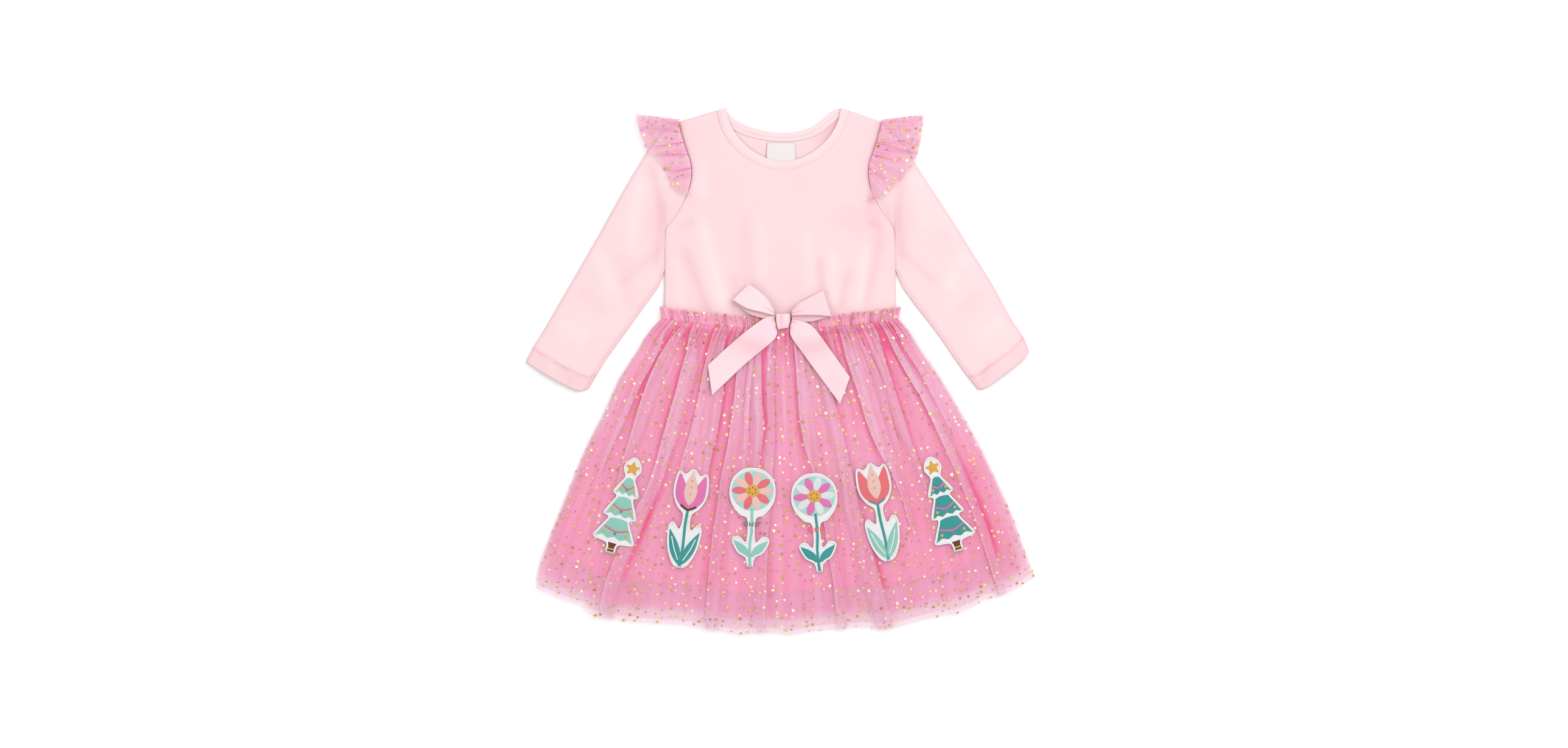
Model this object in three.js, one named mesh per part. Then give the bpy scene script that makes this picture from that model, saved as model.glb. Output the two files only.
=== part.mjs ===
// A toddler's party dress laid flat, face up: a long-sleeved jersey bodice with a neckband, two tulle flutter
// ruffles, a gathered skirt of tulle over under-tulle and lining, a ribbon bow and six sewn-on patches.
// Millimetres. X runs to the viewer's right, Y towards the neck and Z up from the surface that it lies on.
// Left and right are the viewer's. The origin is on that surface, under the middle of the laid-out dress.
import * as THREE from "three";

// Driving sizes
const HALF_LENGTH = 282; // half of the dress from the neckband's tips to the lowest point of the hem
const HALF_WIDTH = 272; // half of the reach from the left cuff to the right corner of the hem
const HALF_CHEST = 123.5; // half of the bodice's width, side seam to side seam
const SEAM = 0.3; // between two pieces where they are sewn or lie on each other
const WALL = { jersey: 1.2, band: 2, tulle: 1, lining: 1, ribbon: 1, label: 1, patch: 1.6 };

// The underside of each skirt layer, counted up from the surface
const LEVEL = { backTulle: 0, backUnder: 1.3, backLining: 2.6, frontLining: 3.9, frontUnder: 5.2 };

// The waist seam sags in the middle, and the tulle stands above it as a gathered heading
const WAIST = { halfWidth: 126.8, sideY: 57, middleY: 46, heading: 12.5, headingSpread: 1.02 };

// Both necklines are superellipses that hang from the inner ends of the shoulder seams, right of the middle
const NECK_SEAM = {
  middleX: 3.2,
  halfWidth: 69.2,
  topY: 279.5,
  front: 63.3, // depth
  back: 34,
  frontPower: 1.855,
  backPower: 1.9,
};
const NECK_EDGE = {
  middleX: 3.6,
  halfWidth: 60.8,
  topY: HALF_LENGTH,
  front: 57.1,
  back: 27.3,
  frontPower: 1.8,
  backPower: 1.8,
};
const NECK_STEPS = { front: 16, back: 10 };
const BAND_LEVEL = { front: 2.9, back: 0 };

// The armhole seam of the right side, from the shoulder's outer end down to the underarm
const ARMHOLE = [
  { x: 108.2, y: 267.2 },
  { x: 105.4, y: 255.5 },
  { x: 102, y: 244 },
  { x: 98.5, y: 233.5 },
  { x: 95.5, y: 224.5 },
  { x: 94.2, y: 215 },
  { x: 94.8, y: 205 },
  { x: 97.5, y: 194.5 },
  { x: 101.3, y: 185.5 },
  { x: 108, y: 173 },
  { x: 114.5, y: 163 },
  { x: HALF_CHEST, y: 152 },
];
const ARMHOLE_STEPS = 10;
const SIDE_ROWS = [0, 0.18, 0.38, 0.68]; // rows of the bodice up its side seam, as shares of its height
const SHOULDER_STEPS = 2;

// Soft folds that rise from the waist seam of the front, each leaning as it runs up
const WAIST_FOLDS = [
  { x: -96, lean: 0.1, width: 13, height: 1.1, reach: 70 },
  { x: -62, lean: -0.35, width: 15, height: 1.5, reach: 85 },
  { x: -24, lean: 0.15, width: 13, height: 1, reach: 95 },
  { x: 30, lean: -0.1, width: 14, height: 1.1, reach: 80 },
  { x: 66, lean: 0.3, width: 15, height: 1.4, reach: 90 },
  { x: 101, lean: -0.1, width: 12, height: 1, reach: 60 },
];
const FRONT_CROWN = 1.9; // how far the front panel lifts off the back between its seams

// Sleeve sections from the cuff to the armhole: where the outer and the inner fold lie, how far the section
// bends towards the armhole seam, and the extra height of the turned-up hem
const SLEEVE_SECTIONS = {
  left: [
    { outerX: 272, outerY: 9.8, innerX: 205, innerY: -18.2, bend: 0, hem: 0.5 },
    { outerX: 264.5, outerY: 25, innerX: 197.5, innerY: -5.5, bend: 0, hem: 0.5 },
    { outerX: 252, outerY: 45, innerX: 187, innerY: 12, bend: 0, hem: 0 },
    { outerX: 236.3, outerY: 72.2, innerX: 171, innerY: 34, bend: 0, hem: 0 },
    { outerX: 222, outerY: 97, innerX: 157.6, innerY: 52.7, bend: 0, hem: 0 },
    { outerX: 207, outerY: 123, innerX: 143, innerY: 73, bend: 0, hem: 0 },
    { outerX: 190.8, outerY: 150.2, innerX: 129.5, innerY: 91.5, bend: 0, hem: 0 },
    { outerX: 174, outerY: 181, innerX: 124.2, innerY: 110, bend: 0.02, hem: 0 },
    { outerX: 159, outerY: 207, innerX: 124.1, innerY: 125, bend: 0.04, hem: 0 },
    { outerX: 142, outerY: 234.7, innerX: 124, innerY: 138, bend: 0.08, hem: 0 },
    { outerX: 126, outerY: 255.5, innerX: 124.8, innerY: 150.8, bend: 0.16, hem: 0 },
    { outerX: 108.5, outerY: 267.2, innerX: 123.8, innerY: 152, bend: 1, hem: 0 },
  ],
  right: [
    { outerX: 266.2, outerY: 20.8, innerX: 212.5, innerY: -19.8, bend: 0, hem: 0.5 },
    { outerX: 260.5, outerY: 37, innerX: 201.5, innerY: -6, bend: 0, hem: 0.5 },
    { outerX: 249, outerY: 53, innerX: 190, innerY: 9.5, bend: 0, hem: 0 },
    { outerX: 238.2, outerY: 72.2, innerX: 174, innerY: 33, bend: 0, hem: 0 },
    { outerX: 225.5, outerY: 96, innerX: 159.6, innerY: 52.7, bend: 0, hem: 0 },
    { outerX: 209, outerY: 122, innerX: 144.5, innerY: 71.5, bend: 0, hem: 0 },
    { outerX: 191.4, outerY: 150.2, innerX: 130.5, innerY: 91, bend: 0, hem: 0 },
    { outerX: 173.5, outerY: 178, innerX: 124.2, innerY: 110, bend: 0.02, hem: 0 },
    { outerX: 157, outerY: 203, innerX: 124.1, innerY: 125, bend: 0.04, hem: 0 },
    { outerX: 141, outerY: 228, innerX: 124, innerY: 138, bend: 0.08, hem: 0 },
    { outerX: 125, outerY: 250, innerX: 124.8, innerY: 150.8, bend: 0.16, hem: 0 },
    { outerX: 108.5, outerY: 267.2, innerX: 123.8, innerY: 152, bend: 1, hem: 0 },
  ],
};
const SLEEVE = { edgeHeight: 2.9, crown: 1.6, foldWall: 1.4 };
const CUFF_BULGE = [
  { share: 0, left: 0, right: 0 },
  { share: 0.1, left: 1.6, right: 3 },
  { share: 0.3, left: 4, right: 3.9 },
  { share: 0.5, left: 5.8, right: 4 },
  { share: 0.8, left: 7.6, right: 3.9 },
  { share: 0.9, left: 6.6, right: 3.2 },
  { share: 1, left: 0.5, right: 0 },
]; // how far each cuff's edge bows out past the line between its corners
const RUFFLE_BED = { fromY: 125, toY: 155 }; // the sleeve rises here to lie on the back of its ruffle

// The free edge of each ruffle, from the shoulder fold round to the tip, seen on the front
const RUFFLE_EDGE = {
  left: [
    { x: 153.1, y: 272.6 },
    { x: 151.5, y: 262 },
    { x: 147, y: 249 },
    { x: 140.5, y: 236 },
    { x: 130, y: 226 },
    { x: 122, y: 213 },
    { x: 117, y: 201 },
    { x: 109, y: 192 },
    { x: 93, y: 188 },
  ],
  right: [
    { x: 153.1, y: 272 },
    { x: 151.5, y: 258 },
    { x: 149.5, y: 244 },
    { x: 145, y: 228 },
    { x: 136, y: 213 },
    { x: 124, y: 199 },
    { x: 113, y: 190 },
    { x: 104, y: 183 },
    { x: 93.3, y: 182.6 },
  ],
};
const RUFFLE = {
  seamShare: 0.62, // of the armhole's length
  waves: 7,
  wave: 3.6,
  frontLevel: 6.8,
  backLevel: 0.5,
  rows: 4,
  turns: 4,
  foldShare: 0.25, // the fold over the shoulder sags along this share of the ruffle
  foldDrop: 0.25, // by this share of its height
};
const RUFFLE_BACK = { edgeShare: 0.8, taper: 0.7 }; // how far round the free edge goes, how narrow it ends

// Skirt outline: both side edges down from the waist, and the hem as shares of its width
const SKIRT_SIDE = {
  left: [
    { x: -126.8, y: 57 },
    { x: -140.1, y: 42.9 },
    { x: -152.4, y: 23.4 },
    { x: -171.3, y: -5.9 },
    { x: -189.5, y: -44.9 },
    { x: -209, y: -83.9 },
    { x: -233, y: -142.4 },
    { x: -248.6, y: -181.4 },
    { x: -258.8, y: -210 },
    { x: -261, y: -231.4 },
  ],
  right: [
    { x: 126.8, y: 57 },
    { x: 138.8, y: 42.9 },
    { x: 151.1, y: 23.4 },
    { x: 171.5, y: -5.9 },
    { x: 194.5, y: -44.9 },
    { x: 216, y: -83.9 },
    { x: 243.4, y: -142.4 },
    { x: 258.4, y: -181.4 },
    { x: 267, y: -204 },
    { x: HALF_WIDTH, y: -219 },
  ],
};
const HEM = [
  { share: 0, y: -231.4 },
  { share: 0.055, y: -243.8 },
  { share: 0.0915, y: -249.6 },
  { share: 0.11, y: -259.4 },
  { share: 0.146, y: -263.9 },
  { share: 0.22, y: -268.5 },
  { share: 0.293, y: -270.4 },
  { share: 0.366, y: -276.3 },
  { share: 0.402, y: -281.2 },
  { share: 0.44, y: -279.3 },
  { share: 0.476, y: -278.9 },
  { share: 0.51, y: -HALF_LENGTH },
  { share: 0.549, y: -277.6 },
  { share: 0.622, y: -273.7 },
  { share: 0.671, y: -273 },
  { share: 0.701, y: -275 },
  { share: 0.732, y: -271.7 },
  { share: 0.768, y: -266.5 },
  { share: 0.805, y: -261.3 },
  { share: 0.8415, y: -259.4 },
  { share: 0.878, y: -250.9 },
  { share: 0.896, y: -243.8 },
  { share: 0.933, y: -239.2 },
  { share: 0.97, y: -230.1 },
  { share: 1, y: -219 },
];

// The front tulle row by row, from the heading's top to the hem: the height of its underside, and how high
// the tight gathers and the wide folds stand on that
const GATHERS = 50;
const FOLDS = 25;
const TULLE_ROWS = [
  { down: -0.037, level: 4.9, gather: 2.4, fold: 0 },
  { down: 0, level: 6.5, gather: 0.8, fold: 0 },
  { down: 0.04, level: 6.9, gather: 1.8, fold: 0.6 },
  { down: 0.15, level: 7.5, gather: 1, fold: 2.2 },
  { down: 0.3, level: 8, gather: 0.4, fold: 3.2 },
  { down: 0.42, level: 8, gather: 0, fold: 3.4 },
  { down: 0.62, level: 8, gather: 0, fold: 3.4 },
  { down: 0.83, level: 8, gather: 0, fold: 3.4 },
  { down: 0.955, level: 7.6, gather: 0, fold: 3.2 },
  { down: 1, level: 2.8, gather: 0, fold: 3.4 },
];
const TULLE_EDGE = 0.01; // share of the width over which the front tulle comes down to the back tulle
const UNDER_TULLE = { inset: 0.016, reach: 0.95, folds: 24, wave: 1 };
const LINING = { inset: 0.022, reach: 0.872, folds: 6, wave: 0 };
const BACK_TULLE = { inset: 0.004, reach: 0.985 };
const FIRST_ROW = 0.004; // the under layers start this share of the skirt below the waist seam

// Six patches: a mirrored row of three plain motifs, set by turns high and low. The tulle lies flat beneath.
const PATCHES = [
  { motif: "fir", share: 0.125, down: 0.64 },
  { motif: "tulip", share: 0.277, down: 0.66 },
  { motif: "daisy", share: 0.427, down: 0.635 },
  { motif: "daisy", share: 0.577, down: 0.66 },
  { motif: "tulip", share: 0.727, down: 0.635 },
  { motif: "fir", share: 0.875, down: 0.655 },
];
const PATCH_BED = { halfShare: 0.062, fade: 0.018, fromDown: 0.42, toDown: 0.83, height: 1.2 };

// Half outlines of the motifs, from the foot to the tip: how far out, and how far up from the middle
const MOTIFS = {
  fir: [
    { out: 5.5, up: -52 },
    { out: 6.5, up: -42 },
    { out: 22, up: -38.5 },
    { out: 19, up: -30 },
    { out: 11.5, up: -15 },
    { out: 18, up: -12 },
    { out: 15, up: -4 },
    { out: 9, up: 9 },
    { out: 14, up: 12.5 },
    { out: 10.5, up: 21 },
    { out: 5.5, up: 31 },
    { out: 9.5, up: 40 },
    { out: 7, up: 48 },
    { out: 2, up: 53 },
  ],
  tulip: [
    { out: 3, up: -53 },
    { out: 9, up: -48 },
    { out: 15.5, up: -33 },
    { out: 18, up: -12 },
    { out: 13.5, up: -5 },
    { out: 6, up: -12 },
    { out: 4.5, up: 4 },
    { out: 12, up: 12 },
    { out: 17.5, up: 24 },
    { out: 18, up: 38 },
    { out: 15, up: 50 },
    { out: 8, up: 47 },
    { out: 2, up: 53 },
  ],
  daisy: [
    { out: 3, up: -53 },
    { out: 5, up: -43 },
    { out: 14, up: -37 },
    { out: 20, up: -24 },
    { out: 13, up: -20 },
    { out: 5, up: -26 },
    { out: 4.5, up: -2 },
    { out: 13, up: 3 },
    { out: 22, up: 15 },
    { out: 24.5, up: 28 },
    { out: 21, up: 42 },
    { out: 11, up: 51 },
    { out: 3, up: 53 },
  ],
};
const OUTLINE_STEPS = 22;

// Ribbon bow. Loop rows run from the knot to the loop's end: the upper edge, then the lower edge of the front
// layer and of the back layer.
const BOW_LOOPS = {
  left: [
    { upX: -6.4, upY: 66.5, frontX: -6.4, frontY: 60, backX: -6.4, backY: 57 },
    { upX: -13, upY: 77, frontX: -19.5, frontY: 63.5, backX: -17, backY: 57 },
    { upX: -22, upY: 85.5, frontX: -36, frontY: 67.8, backX: -34, backY: 62.5 },
    { upX: -32.2, upY: 93, frontX: -49.7, frontY: 76, backX: -49.7, backY: 76 },
  ],
  right: [
    { upX: 12.5, upY: 65.5, frontX: 12.5, frontY: 60, backX: 12.5, backY: 53.5 },
    { upX: 20, upY: 73, frontX: 26, frontY: 60.3, backX: 24, backY: 53 },
    { upX: 32, upY: 79.6, frontX: 40, frontY: 60.2, backX: 38, backY: 54.5 },
    { upX: 44.5, upY: 86.5, frontX: 53, frontY: 59.2, backX: 53, backY: 59.2 },
  ],
};
const LOOP = { frontLevel: 12.4, frontCrown: 1, backLevel: 9.3, steps: 6, turns: 3, across: 4 };
const BOW_TAILS = {
  left: [
    { upX: -7.2, upY: 55.2, lowX: -2.8, lowY: 44.6 },
    { upX: -15, upY: 54.8, lowX: -4.5, lowY: 37 },
    { upX: -30.2, upY: 48.1, lowX: -12, lowY: 29 },
    { upX: -53, upY: 29.3, lowX: -39.5, lowY: 6 },
    { upX: -77, upY: 7.2, lowX: -72.5, lowY: -25.4 },
  ],
  right: [
    { upX: 12.5, upY: 50.8, lowX: 10.6, lowY: 45.5 },
    { upX: 24, upY: 51.3, lowX: 11.5, lowY: 38.5 },
    { upX: 36, upY: 47, lowX: 17, lowY: 29.5 },
    { upX: 54, upY: 23, lowX: 36.5, lowY: 2.8 },
    { upX: 74.4, upY: -5.9, lowX: 64, lowY: -34.5 },
  ],
};
const TAIL_REST = [
  { y: 60, level: 9 },
  { y: 46, level: 9.2 },
  { y: 33, level: 10.8 },
  { y: -5, level: 12.5 },
  { y: -40, level: 13.1 },
];
const TAIL_STEPS = { along: 10, across: 3 };
const KNOT = { foot: 8.7, height: 6.4, bevel: 1.4 };
const KNOT_OUTLINE = [
  { x: -5.2, y: 61.8 },
  { x: 11.2, y: 62.4 },
  { x: 11.6, y: 51 },
  { x: 6, y: 45.5 },
  { x: -0.5, y: 46.2 },
  { x: -4.9, y: 57 },
];

const LABEL = { halfWidth: 15.4, middleX: 0.9, topY: 244.8, bottomY: 213 };

const COLOUR = {
  jersey: "#f9d0d8",
  tulle: "#ee86b4",
  underTulle: "#f090b8",
  lining: "#f27fb0",
  ribbon: "#fbcfd4",
  label: "#fbf8f4",
  patch: "#f4f1ee",
};

const mix = (a, b, t) => a + (b - a) * t;
const clamp01 = (t) => Math.min(1, Math.max(0, t));
const ease = (t) => clamp01(t) ** 2 * (3 - 2 * clamp01(t));
const mixPoint = (a, b, t) => new THREE.Vector2(mix(a.x, b.x, t), mix(a.y, b.y, t));
const steps = (count) => Array.from({ length: count + 1 }, (_, i) => i / count);

/** The value of one named column of a table at a place between its rows. */
function column(table, key, name, place) {
  const next = table.findIndex((row) => row[key] >= place);
  if (next === 0) return table[0][name];
  if (next < 0) return table[table.length - 1][name];
  const [a, b] = [table[next - 1], table[next]];
  return mix(a[name], b[name], (place - a[key]) / (b[key] - a[key]));
}

/** A smooth curve through the rows of a table, each with an x and a y. */
function curveThrough(rows, flip = 1) {
  return new THREE.SplineCurve(rows.map((row) => new THREE.Vector2(flip * row.x, row.y)));
}

/**
 * A closed wall over a grid of columns and rows. pair(i, j) gives its outer and its inner point. A ring's
 * last column joins its first.
 */
function wall(columns, rows, pair, ring = false) {
  const perRow = ring ? columns : columns + 1;
  const positions = [];
  for (const side of [0, 1])
    for (let j = 0; j <= rows; j++)
      for (let i = 0; i < perRow; i++) positions.push(...pair(i, j)[side].toArray());
  const at = (side, i, j) => side * perRow * (rows + 1) + j * perRow + (i % perRow);
  const index = [];
  const quad = (a, b, c, d) => index.push(a, b, c, a, c, d);
  for (let j = 0; j < rows; j++)
    for (let i = 0; i < columns; i++) {
      quad(at(0, i, j), at(0, i + 1, j), at(0, i + 1, j + 1), at(0, i, j + 1));
      quad(at(1, i, j), at(1, i, j + 1), at(1, i + 1, j + 1), at(1, i + 1, j));
    }
  for (let i = 0; i < columns; i++) {
    quad(at(0, i + 1, 0), at(0, i, 0), at(1, i, 0), at(1, i + 1, 0));
    quad(at(0, i, rows), at(0, i + 1, rows), at(1, i + 1, rows), at(1, i, rows));
  }
  for (let j = 0; j < rows && !ring; j++) {
    quad(at(0, 0, j), at(0, 0, j + 1), at(1, 0, j + 1), at(1, 0, j));
    quad(at(0, columns, j + 1), at(0, columns, j), at(1, columns, j), at(1, columns, j + 1));
  }
  const geometry = new THREE.BufferGeometry();
  geometry.setAttribute("position", new THREE.Float32BufferAttribute(positions, 3));
  geometry.setIndex(index);
  return facingOut(geometry);
}

/** The geometry with its faces turned outwards. */
function facingOut(geometry) {
  const p = geometry.getAttribute("position");
  const index = geometry.getIndex();
  const corner = (k) => new THREE.Vector3().fromBufferAttribute(p, index.getX(k));
  let volume = 0;
  for (let k = 0; k < index.count; k += 3) volume += corner(k).dot(corner(k + 1).cross(corner(k + 2)));
  if (volume < 0)
    for (let k = 0; k < index.count; k += 3) {
      const swapped = index.getX(k + 1);
      index.setX(k + 1, index.getX(k + 2));
      index.setX(k + 2, swapped);
    }
  geometry.computeVertexNormals();
  return geometry;
}

/** A wall that lies flat: place(u, v) gives x, y and the low height, and the wall stands thick above that. */
function layer(shares, downs, thick, place) {
  return wall(shares.length - 1, downs.length - 1, (i, j) => {
    const { x, y, low } = place(shares[i], downs[j], i, j);
    return [new THREE.Vector3(x, y, low + thick), new THREE.Vector3(x, y, low)];
  });
}

/** A wall with its middle surface on a grid of points, half of its thickness to each side. */
function wallOnGrid(grid, thick) {
  const last = (list) => list.length - 1;
  const point = (i, j) => grid[Math.min(last(grid), Math.max(0, i))][Math.min(last(grid[0]), Math.max(0, j))];
  return wall(last(grid), last(grid[0]), (i, j) => {
    const along = point(i + 1, j).clone().sub(point(i - 1, j));
    const across = point(i, j + 1).clone().sub(point(i, j - 1));
    const normal = along.cross(across).normalize().multiplyScalar(thick / 2);
    return [point(i, j).clone().add(normal), point(i, j).clone().sub(normal)];
  });
}

/** Cloth between four edges, each a function of a share: across at the foot and head, up both sides. */
function between(foot, head, left, right) {
  return (u, v) => {
    const straightLeft = mixPoint(foot(0), foot(1), u).lerp(mixPoint(head(0), head(1), u), v);
    const upright = mixPoint(foot(u), head(u), v);
    const level = mixPoint(left(v), right(v), u);
    return upright.add(level).sub(straightLeft);
  };
}

const armhole = curveThrough(ARMHOLE);

/** The armhole seam of one side at a share of its length, from the shoulder down. */
function armholePoint(side, share, gap = 0) {
  const p = armhole.getPointAt(share);
  return new THREE.Vector2(side * (p.x + gap), p.y);
}

/** A neckline at a share from the left shoulder round to the right one. */
function neckPoint(neck, face, share) {
  const angle = Math.PI * (1 - share);
  const power = 2 / neck[`${face}Power`];
  const [c, s] = [Math.cos(angle), Math.sin(angle)];
  return new THREE.Vector2(
    neck.middleX + neck.halfWidth * Math.sign(c) * Math.abs(c) ** power,
    neck.topY - neck[face] * Math.abs(s) ** power,
  );
}

/** The waist seam at a share across it, for a piece of that half width. */
function waistPoint(share, halfWidth) {
  const x = mix(-halfWidth, halfWidth, share);
  return new THREE.Vector2(x, mix(WAIST.middleY, WAIST.sideY, (x / WAIST.halfWidth) ** 2));
}

/** The bodice's side and armhole at each of its rows, with the share of its height that the row is at. */
function bodiceRows() {
  const sideHeight = ARMHOLE[ARMHOLE.length - 1].y - WAIST.sideY;
  const total = sideHeight + armhole.getLength();
  const side = SIDE_ROWS.map((share) => ({
    at: (share * sideHeight) / total,
    point: new THREE.Vector2(HALF_CHEST, WAIST.sideY + SEAM + share * sideHeight),
  }));
  const hole = steps(ARMHOLE_STEPS).map((share) => ({
    at: (sideHeight + share * armhole.getLength()) / total,
    point: armholePoint(1, 1 - share),
  }));
  return [...side, ...hole];
}

/** The head edge of the bodice: shoulder, neck seam and shoulder, with a share for each of its points. */
function bodiceHead(face) {
  const neck = steps(NECK_STEPS[face]).map((t) => neckPoint(NECK_SEAM, face, t));
  const [first, last] = [neck[0], neck[neck.length - 1]];
  const inwards = steps(SHOULDER_STEPS).slice(0, -1);
  const left = inwards.map((t) => mixPoint(armholePoint(-1, 0), first, t));
  const right = inwards.map((t) => mixPoint(armholePoint(1, 0), last, t)).reverse();
  return [...left, ...neck, ...right];
}

/** One bodice panel. rise(u, v, x, y) is how far its underside lies above the surface. */
function bodicePanel(face, rise) {
  const rows = bodiceRows();
  const head = bodiceHead(face);
  const nearest = (list, t) => list[Math.round(t * (list.length - 1))];
  const rowAt = (v) => rows.find((row) => row.at >= v - 1e-9).point;
  const plan = between(
    (u) => waistPoint(u, HALF_CHEST).add(new THREE.Vector2(0, SEAM)),
    (u) => nearest(head, u),
    (v) => new THREE.Vector2(-rowAt(v).x, rowAt(v).y),
    (v) => rowAt(v),
  );
  const downs = rows.map((row) => row.at);
  return layer(steps(head.length - 1), downs, WALL.jersey, (u, v) => {
    const p = plan(u, v);
    return { x: p.x, y: p.y, low: rise(u, v, p.x, p.y) };
  });
}

/** How far the back panel lifts to lie on the heading of the back tulle. */
function headingBed(y) {
  const top = WAIST.sideY + WAIST.heading;
  return (LEVEL.backTulle + WALL.tulle + SEAM) * (1 - ease((y - top - 4) / 20));
}

/** How far the front panel stands off the back panel: a soft crown, and the folds above the waist seam. */
function frontLoft(u, v, x, y) {
  const sides = Math.sin(Math.PI * u) ** 0.7;
  let loft = FRONT_CROWN * sides * ease(v / 0.3);
  for (const fold of WAIST_FOLDS) {
    const up = y - WAIST.middleY;
    const off = (x - fold.x - fold.lean * up) / fold.width;
    loft += fold.height * Math.exp(-off * off) * ease(v / 0.12) * (1 - ease(up / fold.reach)) * sides;
  }
  return loft;
}

function makeBodiceBack() {
  return bodicePanel("back", (u, v, x, y) => headingBed(y));
}

function makeBodiceFront() {
  return bodicePanel("front", (u, v, x, y) => headingBed(y) + WALL.jersey + SEAM + frontLoft(u, v, x, y));
}

/** One half of the neckband, between the neck seam and the neck's open edge. */
function makeNeckband(face) {
  return layer(steps(NECK_STEPS[face]), [0, 0.5, 1], WALL.band, (u, v) => {
    const seam = neckPoint(NECK_SEAM, face, u);
    const edge = neckPoint(NECK_EDGE, face, u);
    const gap = SEAM / seam.distanceTo(edge);
    const p = mixPoint(seam, edge, mix(gap, 1, v));
    return { x: p.x, y: p.y, low: BAND_LEVEL[face] };
  });
}

/** The woven label that hangs inside the back of the neck. */
function makeLabel() {
  const { halfWidth, middleX, topY, bottomY } = LABEL;
  return layer([0, 1], [0, 1], WALL.label, (u, v) => ({
    x: middleX + mix(-halfWidth, halfWidth, u),
    y: mix(bottomY, topY, v),
    low: WALL.jersey + SEAM,
  }));
}

/** A long sleeve: a flat-lying tube, open at the cuff and at the armhole. side is -1 on the left. */
function makeSleeve(name, side) {
  const sections = SLEEVE_SECTIONS[name];
  const across = ARMHOLE_STEPS;
  const bed = (y) => (WALL.tulle + SEAM) * ease((y - RUFFLE_BED.fromY) / (RUFFLE_BED.toY - RUFFLE_BED.fromY));
  const plan = (u, section, inset) => {
    const outer = new THREE.Vector2(side * section.outerX, section.outerY);
    const inner = new THREE.Vector2(side * section.innerX, section.innerY);
    const chord = mixPoint(armholePoint(side, 0, SEAM), armholePoint(side, 1, SEAM), u);
    const bow = armholePoint(side, u, SEAM)
      .sub(chord)
      .multiplyScalar(section.bend);
    const p = mixPoint(outer, inner, u).add(bow);
    const towards = inner.clone().sub(outer).normalize();
    const shift = inset * (u === 0 ? 1 : 0) - inset * (u === 1 ? 1 : 0);
    const past = section === sections[0] ? column(CUFF_BULGE, "share", name, u) : 0;
    const away = new THREE.Vector2(towards.y, -towards.x).multiplyScalar(-side * past);
    return p.add(towards.multiplyScalar(shift)).add(away);
  };
  return wall(2 * (across + 1), sections.length - 1, (i, j) => {
    const front = i <= across;
    const u = (front ? i : 2 * across + 1 - i) / across;
    const section = sections[j];
    const [out, into] = [plan(u, section, 0), plan(u, section, SLEEVE.foldWall)];
    const low = bed(out.y);
    const high = low + SLEEVE.edgeHeight + SLEEVE.crown * Math.sin(Math.PI * u) + section.hem;
    const [outZ, intoZ] = front ? [high, high - WALL.jersey] : [low, low + WALL.jersey];
    return [new THREE.Vector3(out.x, out.y, outZ), new THREE.Vector3(into.x, into.y, intoZ)];
  }, true);
}

/** A flutter ruffle: gathered into the armhole seam, folded over the shoulder and waved at its free edge. */
function makeRuffle(name, side) {
  const edge = curveThrough(RUFFLE_EDGE[name], side);
  const { seamShare, waves, wave, frontLevel, backLevel, rows, turns, foldShare, foldDrop } = RUFFLE;
  const backSteps = Math.round(seamShare * ARMHOLE_STEPS);
  const back = steps(backSteps).reverse().map((t) => ({ t, turn: 0 }));
  const fold = steps(turns).slice(1, -1).map((turn) => ({ t: 0, turn }));
  const front = steps(4 * waves).map((t) => ({ t, turn: 1 }));
  const halfHeight = (frontLevel - backLevel) / 2;
  return wallOnGrid([...back, ...fold, ...front].map(({ t, turn }) =>
    steps(rows).map((v) => {
      const seam = armholePoint(side, seamShare * t, SEAM);
      const along = turn === 0 ? RUFFLE_BACK.edgeShare * t : t;
      const width = turn === 0 ? 1 - RUFFLE_BACK.taper * ease(2 * t - 1) : 1;
      const p = mixPoint(seam, edge.getPoint(along), v * width);
      const rise = turn === 1 ? wave * (0.35 + 0.65 * v) * Math.sin(Math.PI * waves * t) ** 2 : 0;
      const z = backLevel + halfHeight * (1 - Math.cos(Math.PI * turn)) + rise * (1 - 0.5 * t);
      const fold = halfHeight * (Math.sin(Math.PI * turn) - foldDrop * (1 - ease(t / foldShare)));
      return new THREE.Vector3(p.x, p.y + fold, z);
    }),
  ), WALL.tulle);
}

const skirtSides = { left: curveThrough(SKIRT_SIDE.left), right: curveThrough(SKIRT_SIDE.right) };
const hemCurve = (share) => {
  const [left, right] = [SKIRT_SIDE.left, SKIRT_SIDE.right].map((rows) => rows[rows.length - 1].x);
  return new THREE.Vector2(mix(left, right, share), column(HEM, "share", "y", share));
};
const skirtBody = between(
  (u) => waistPoint(u, WAIST.halfWidth),
  hemCurve,
  (v) => skirtSides.left.getPointAt(v),
  (v) => skirtSides.right.getPointAt(v),
);

/** Where the skirt's cloth lies at a share across and a share down. Above the waist seam is the heading. */
function skirtPoint(share, down) {
  if (down >= 0) return skirtBody(share, down);
  const up = down / TULLE_ROWS[0].down;
  const p = waistPoint(share, WAIST.halfWidth);
  return new THREE.Vector2(p.x * mix(1, WAIST.headingSpread, up), p.y + WAIST.heading * up);
}

/** How far the tulle is held flat under a patch, from 0 to 1. */
function patchBed(share, down) {
  if (down < PATCH_BED.fromDown || down > PATCH_BED.toDown) return 0;
  const near = Math.min(...PATCHES.map((patch) => Math.abs(patch.share - share)));
  return 1 - ease((near - PATCH_BED.halfShare) / PATCH_BED.fade);
}

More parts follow.
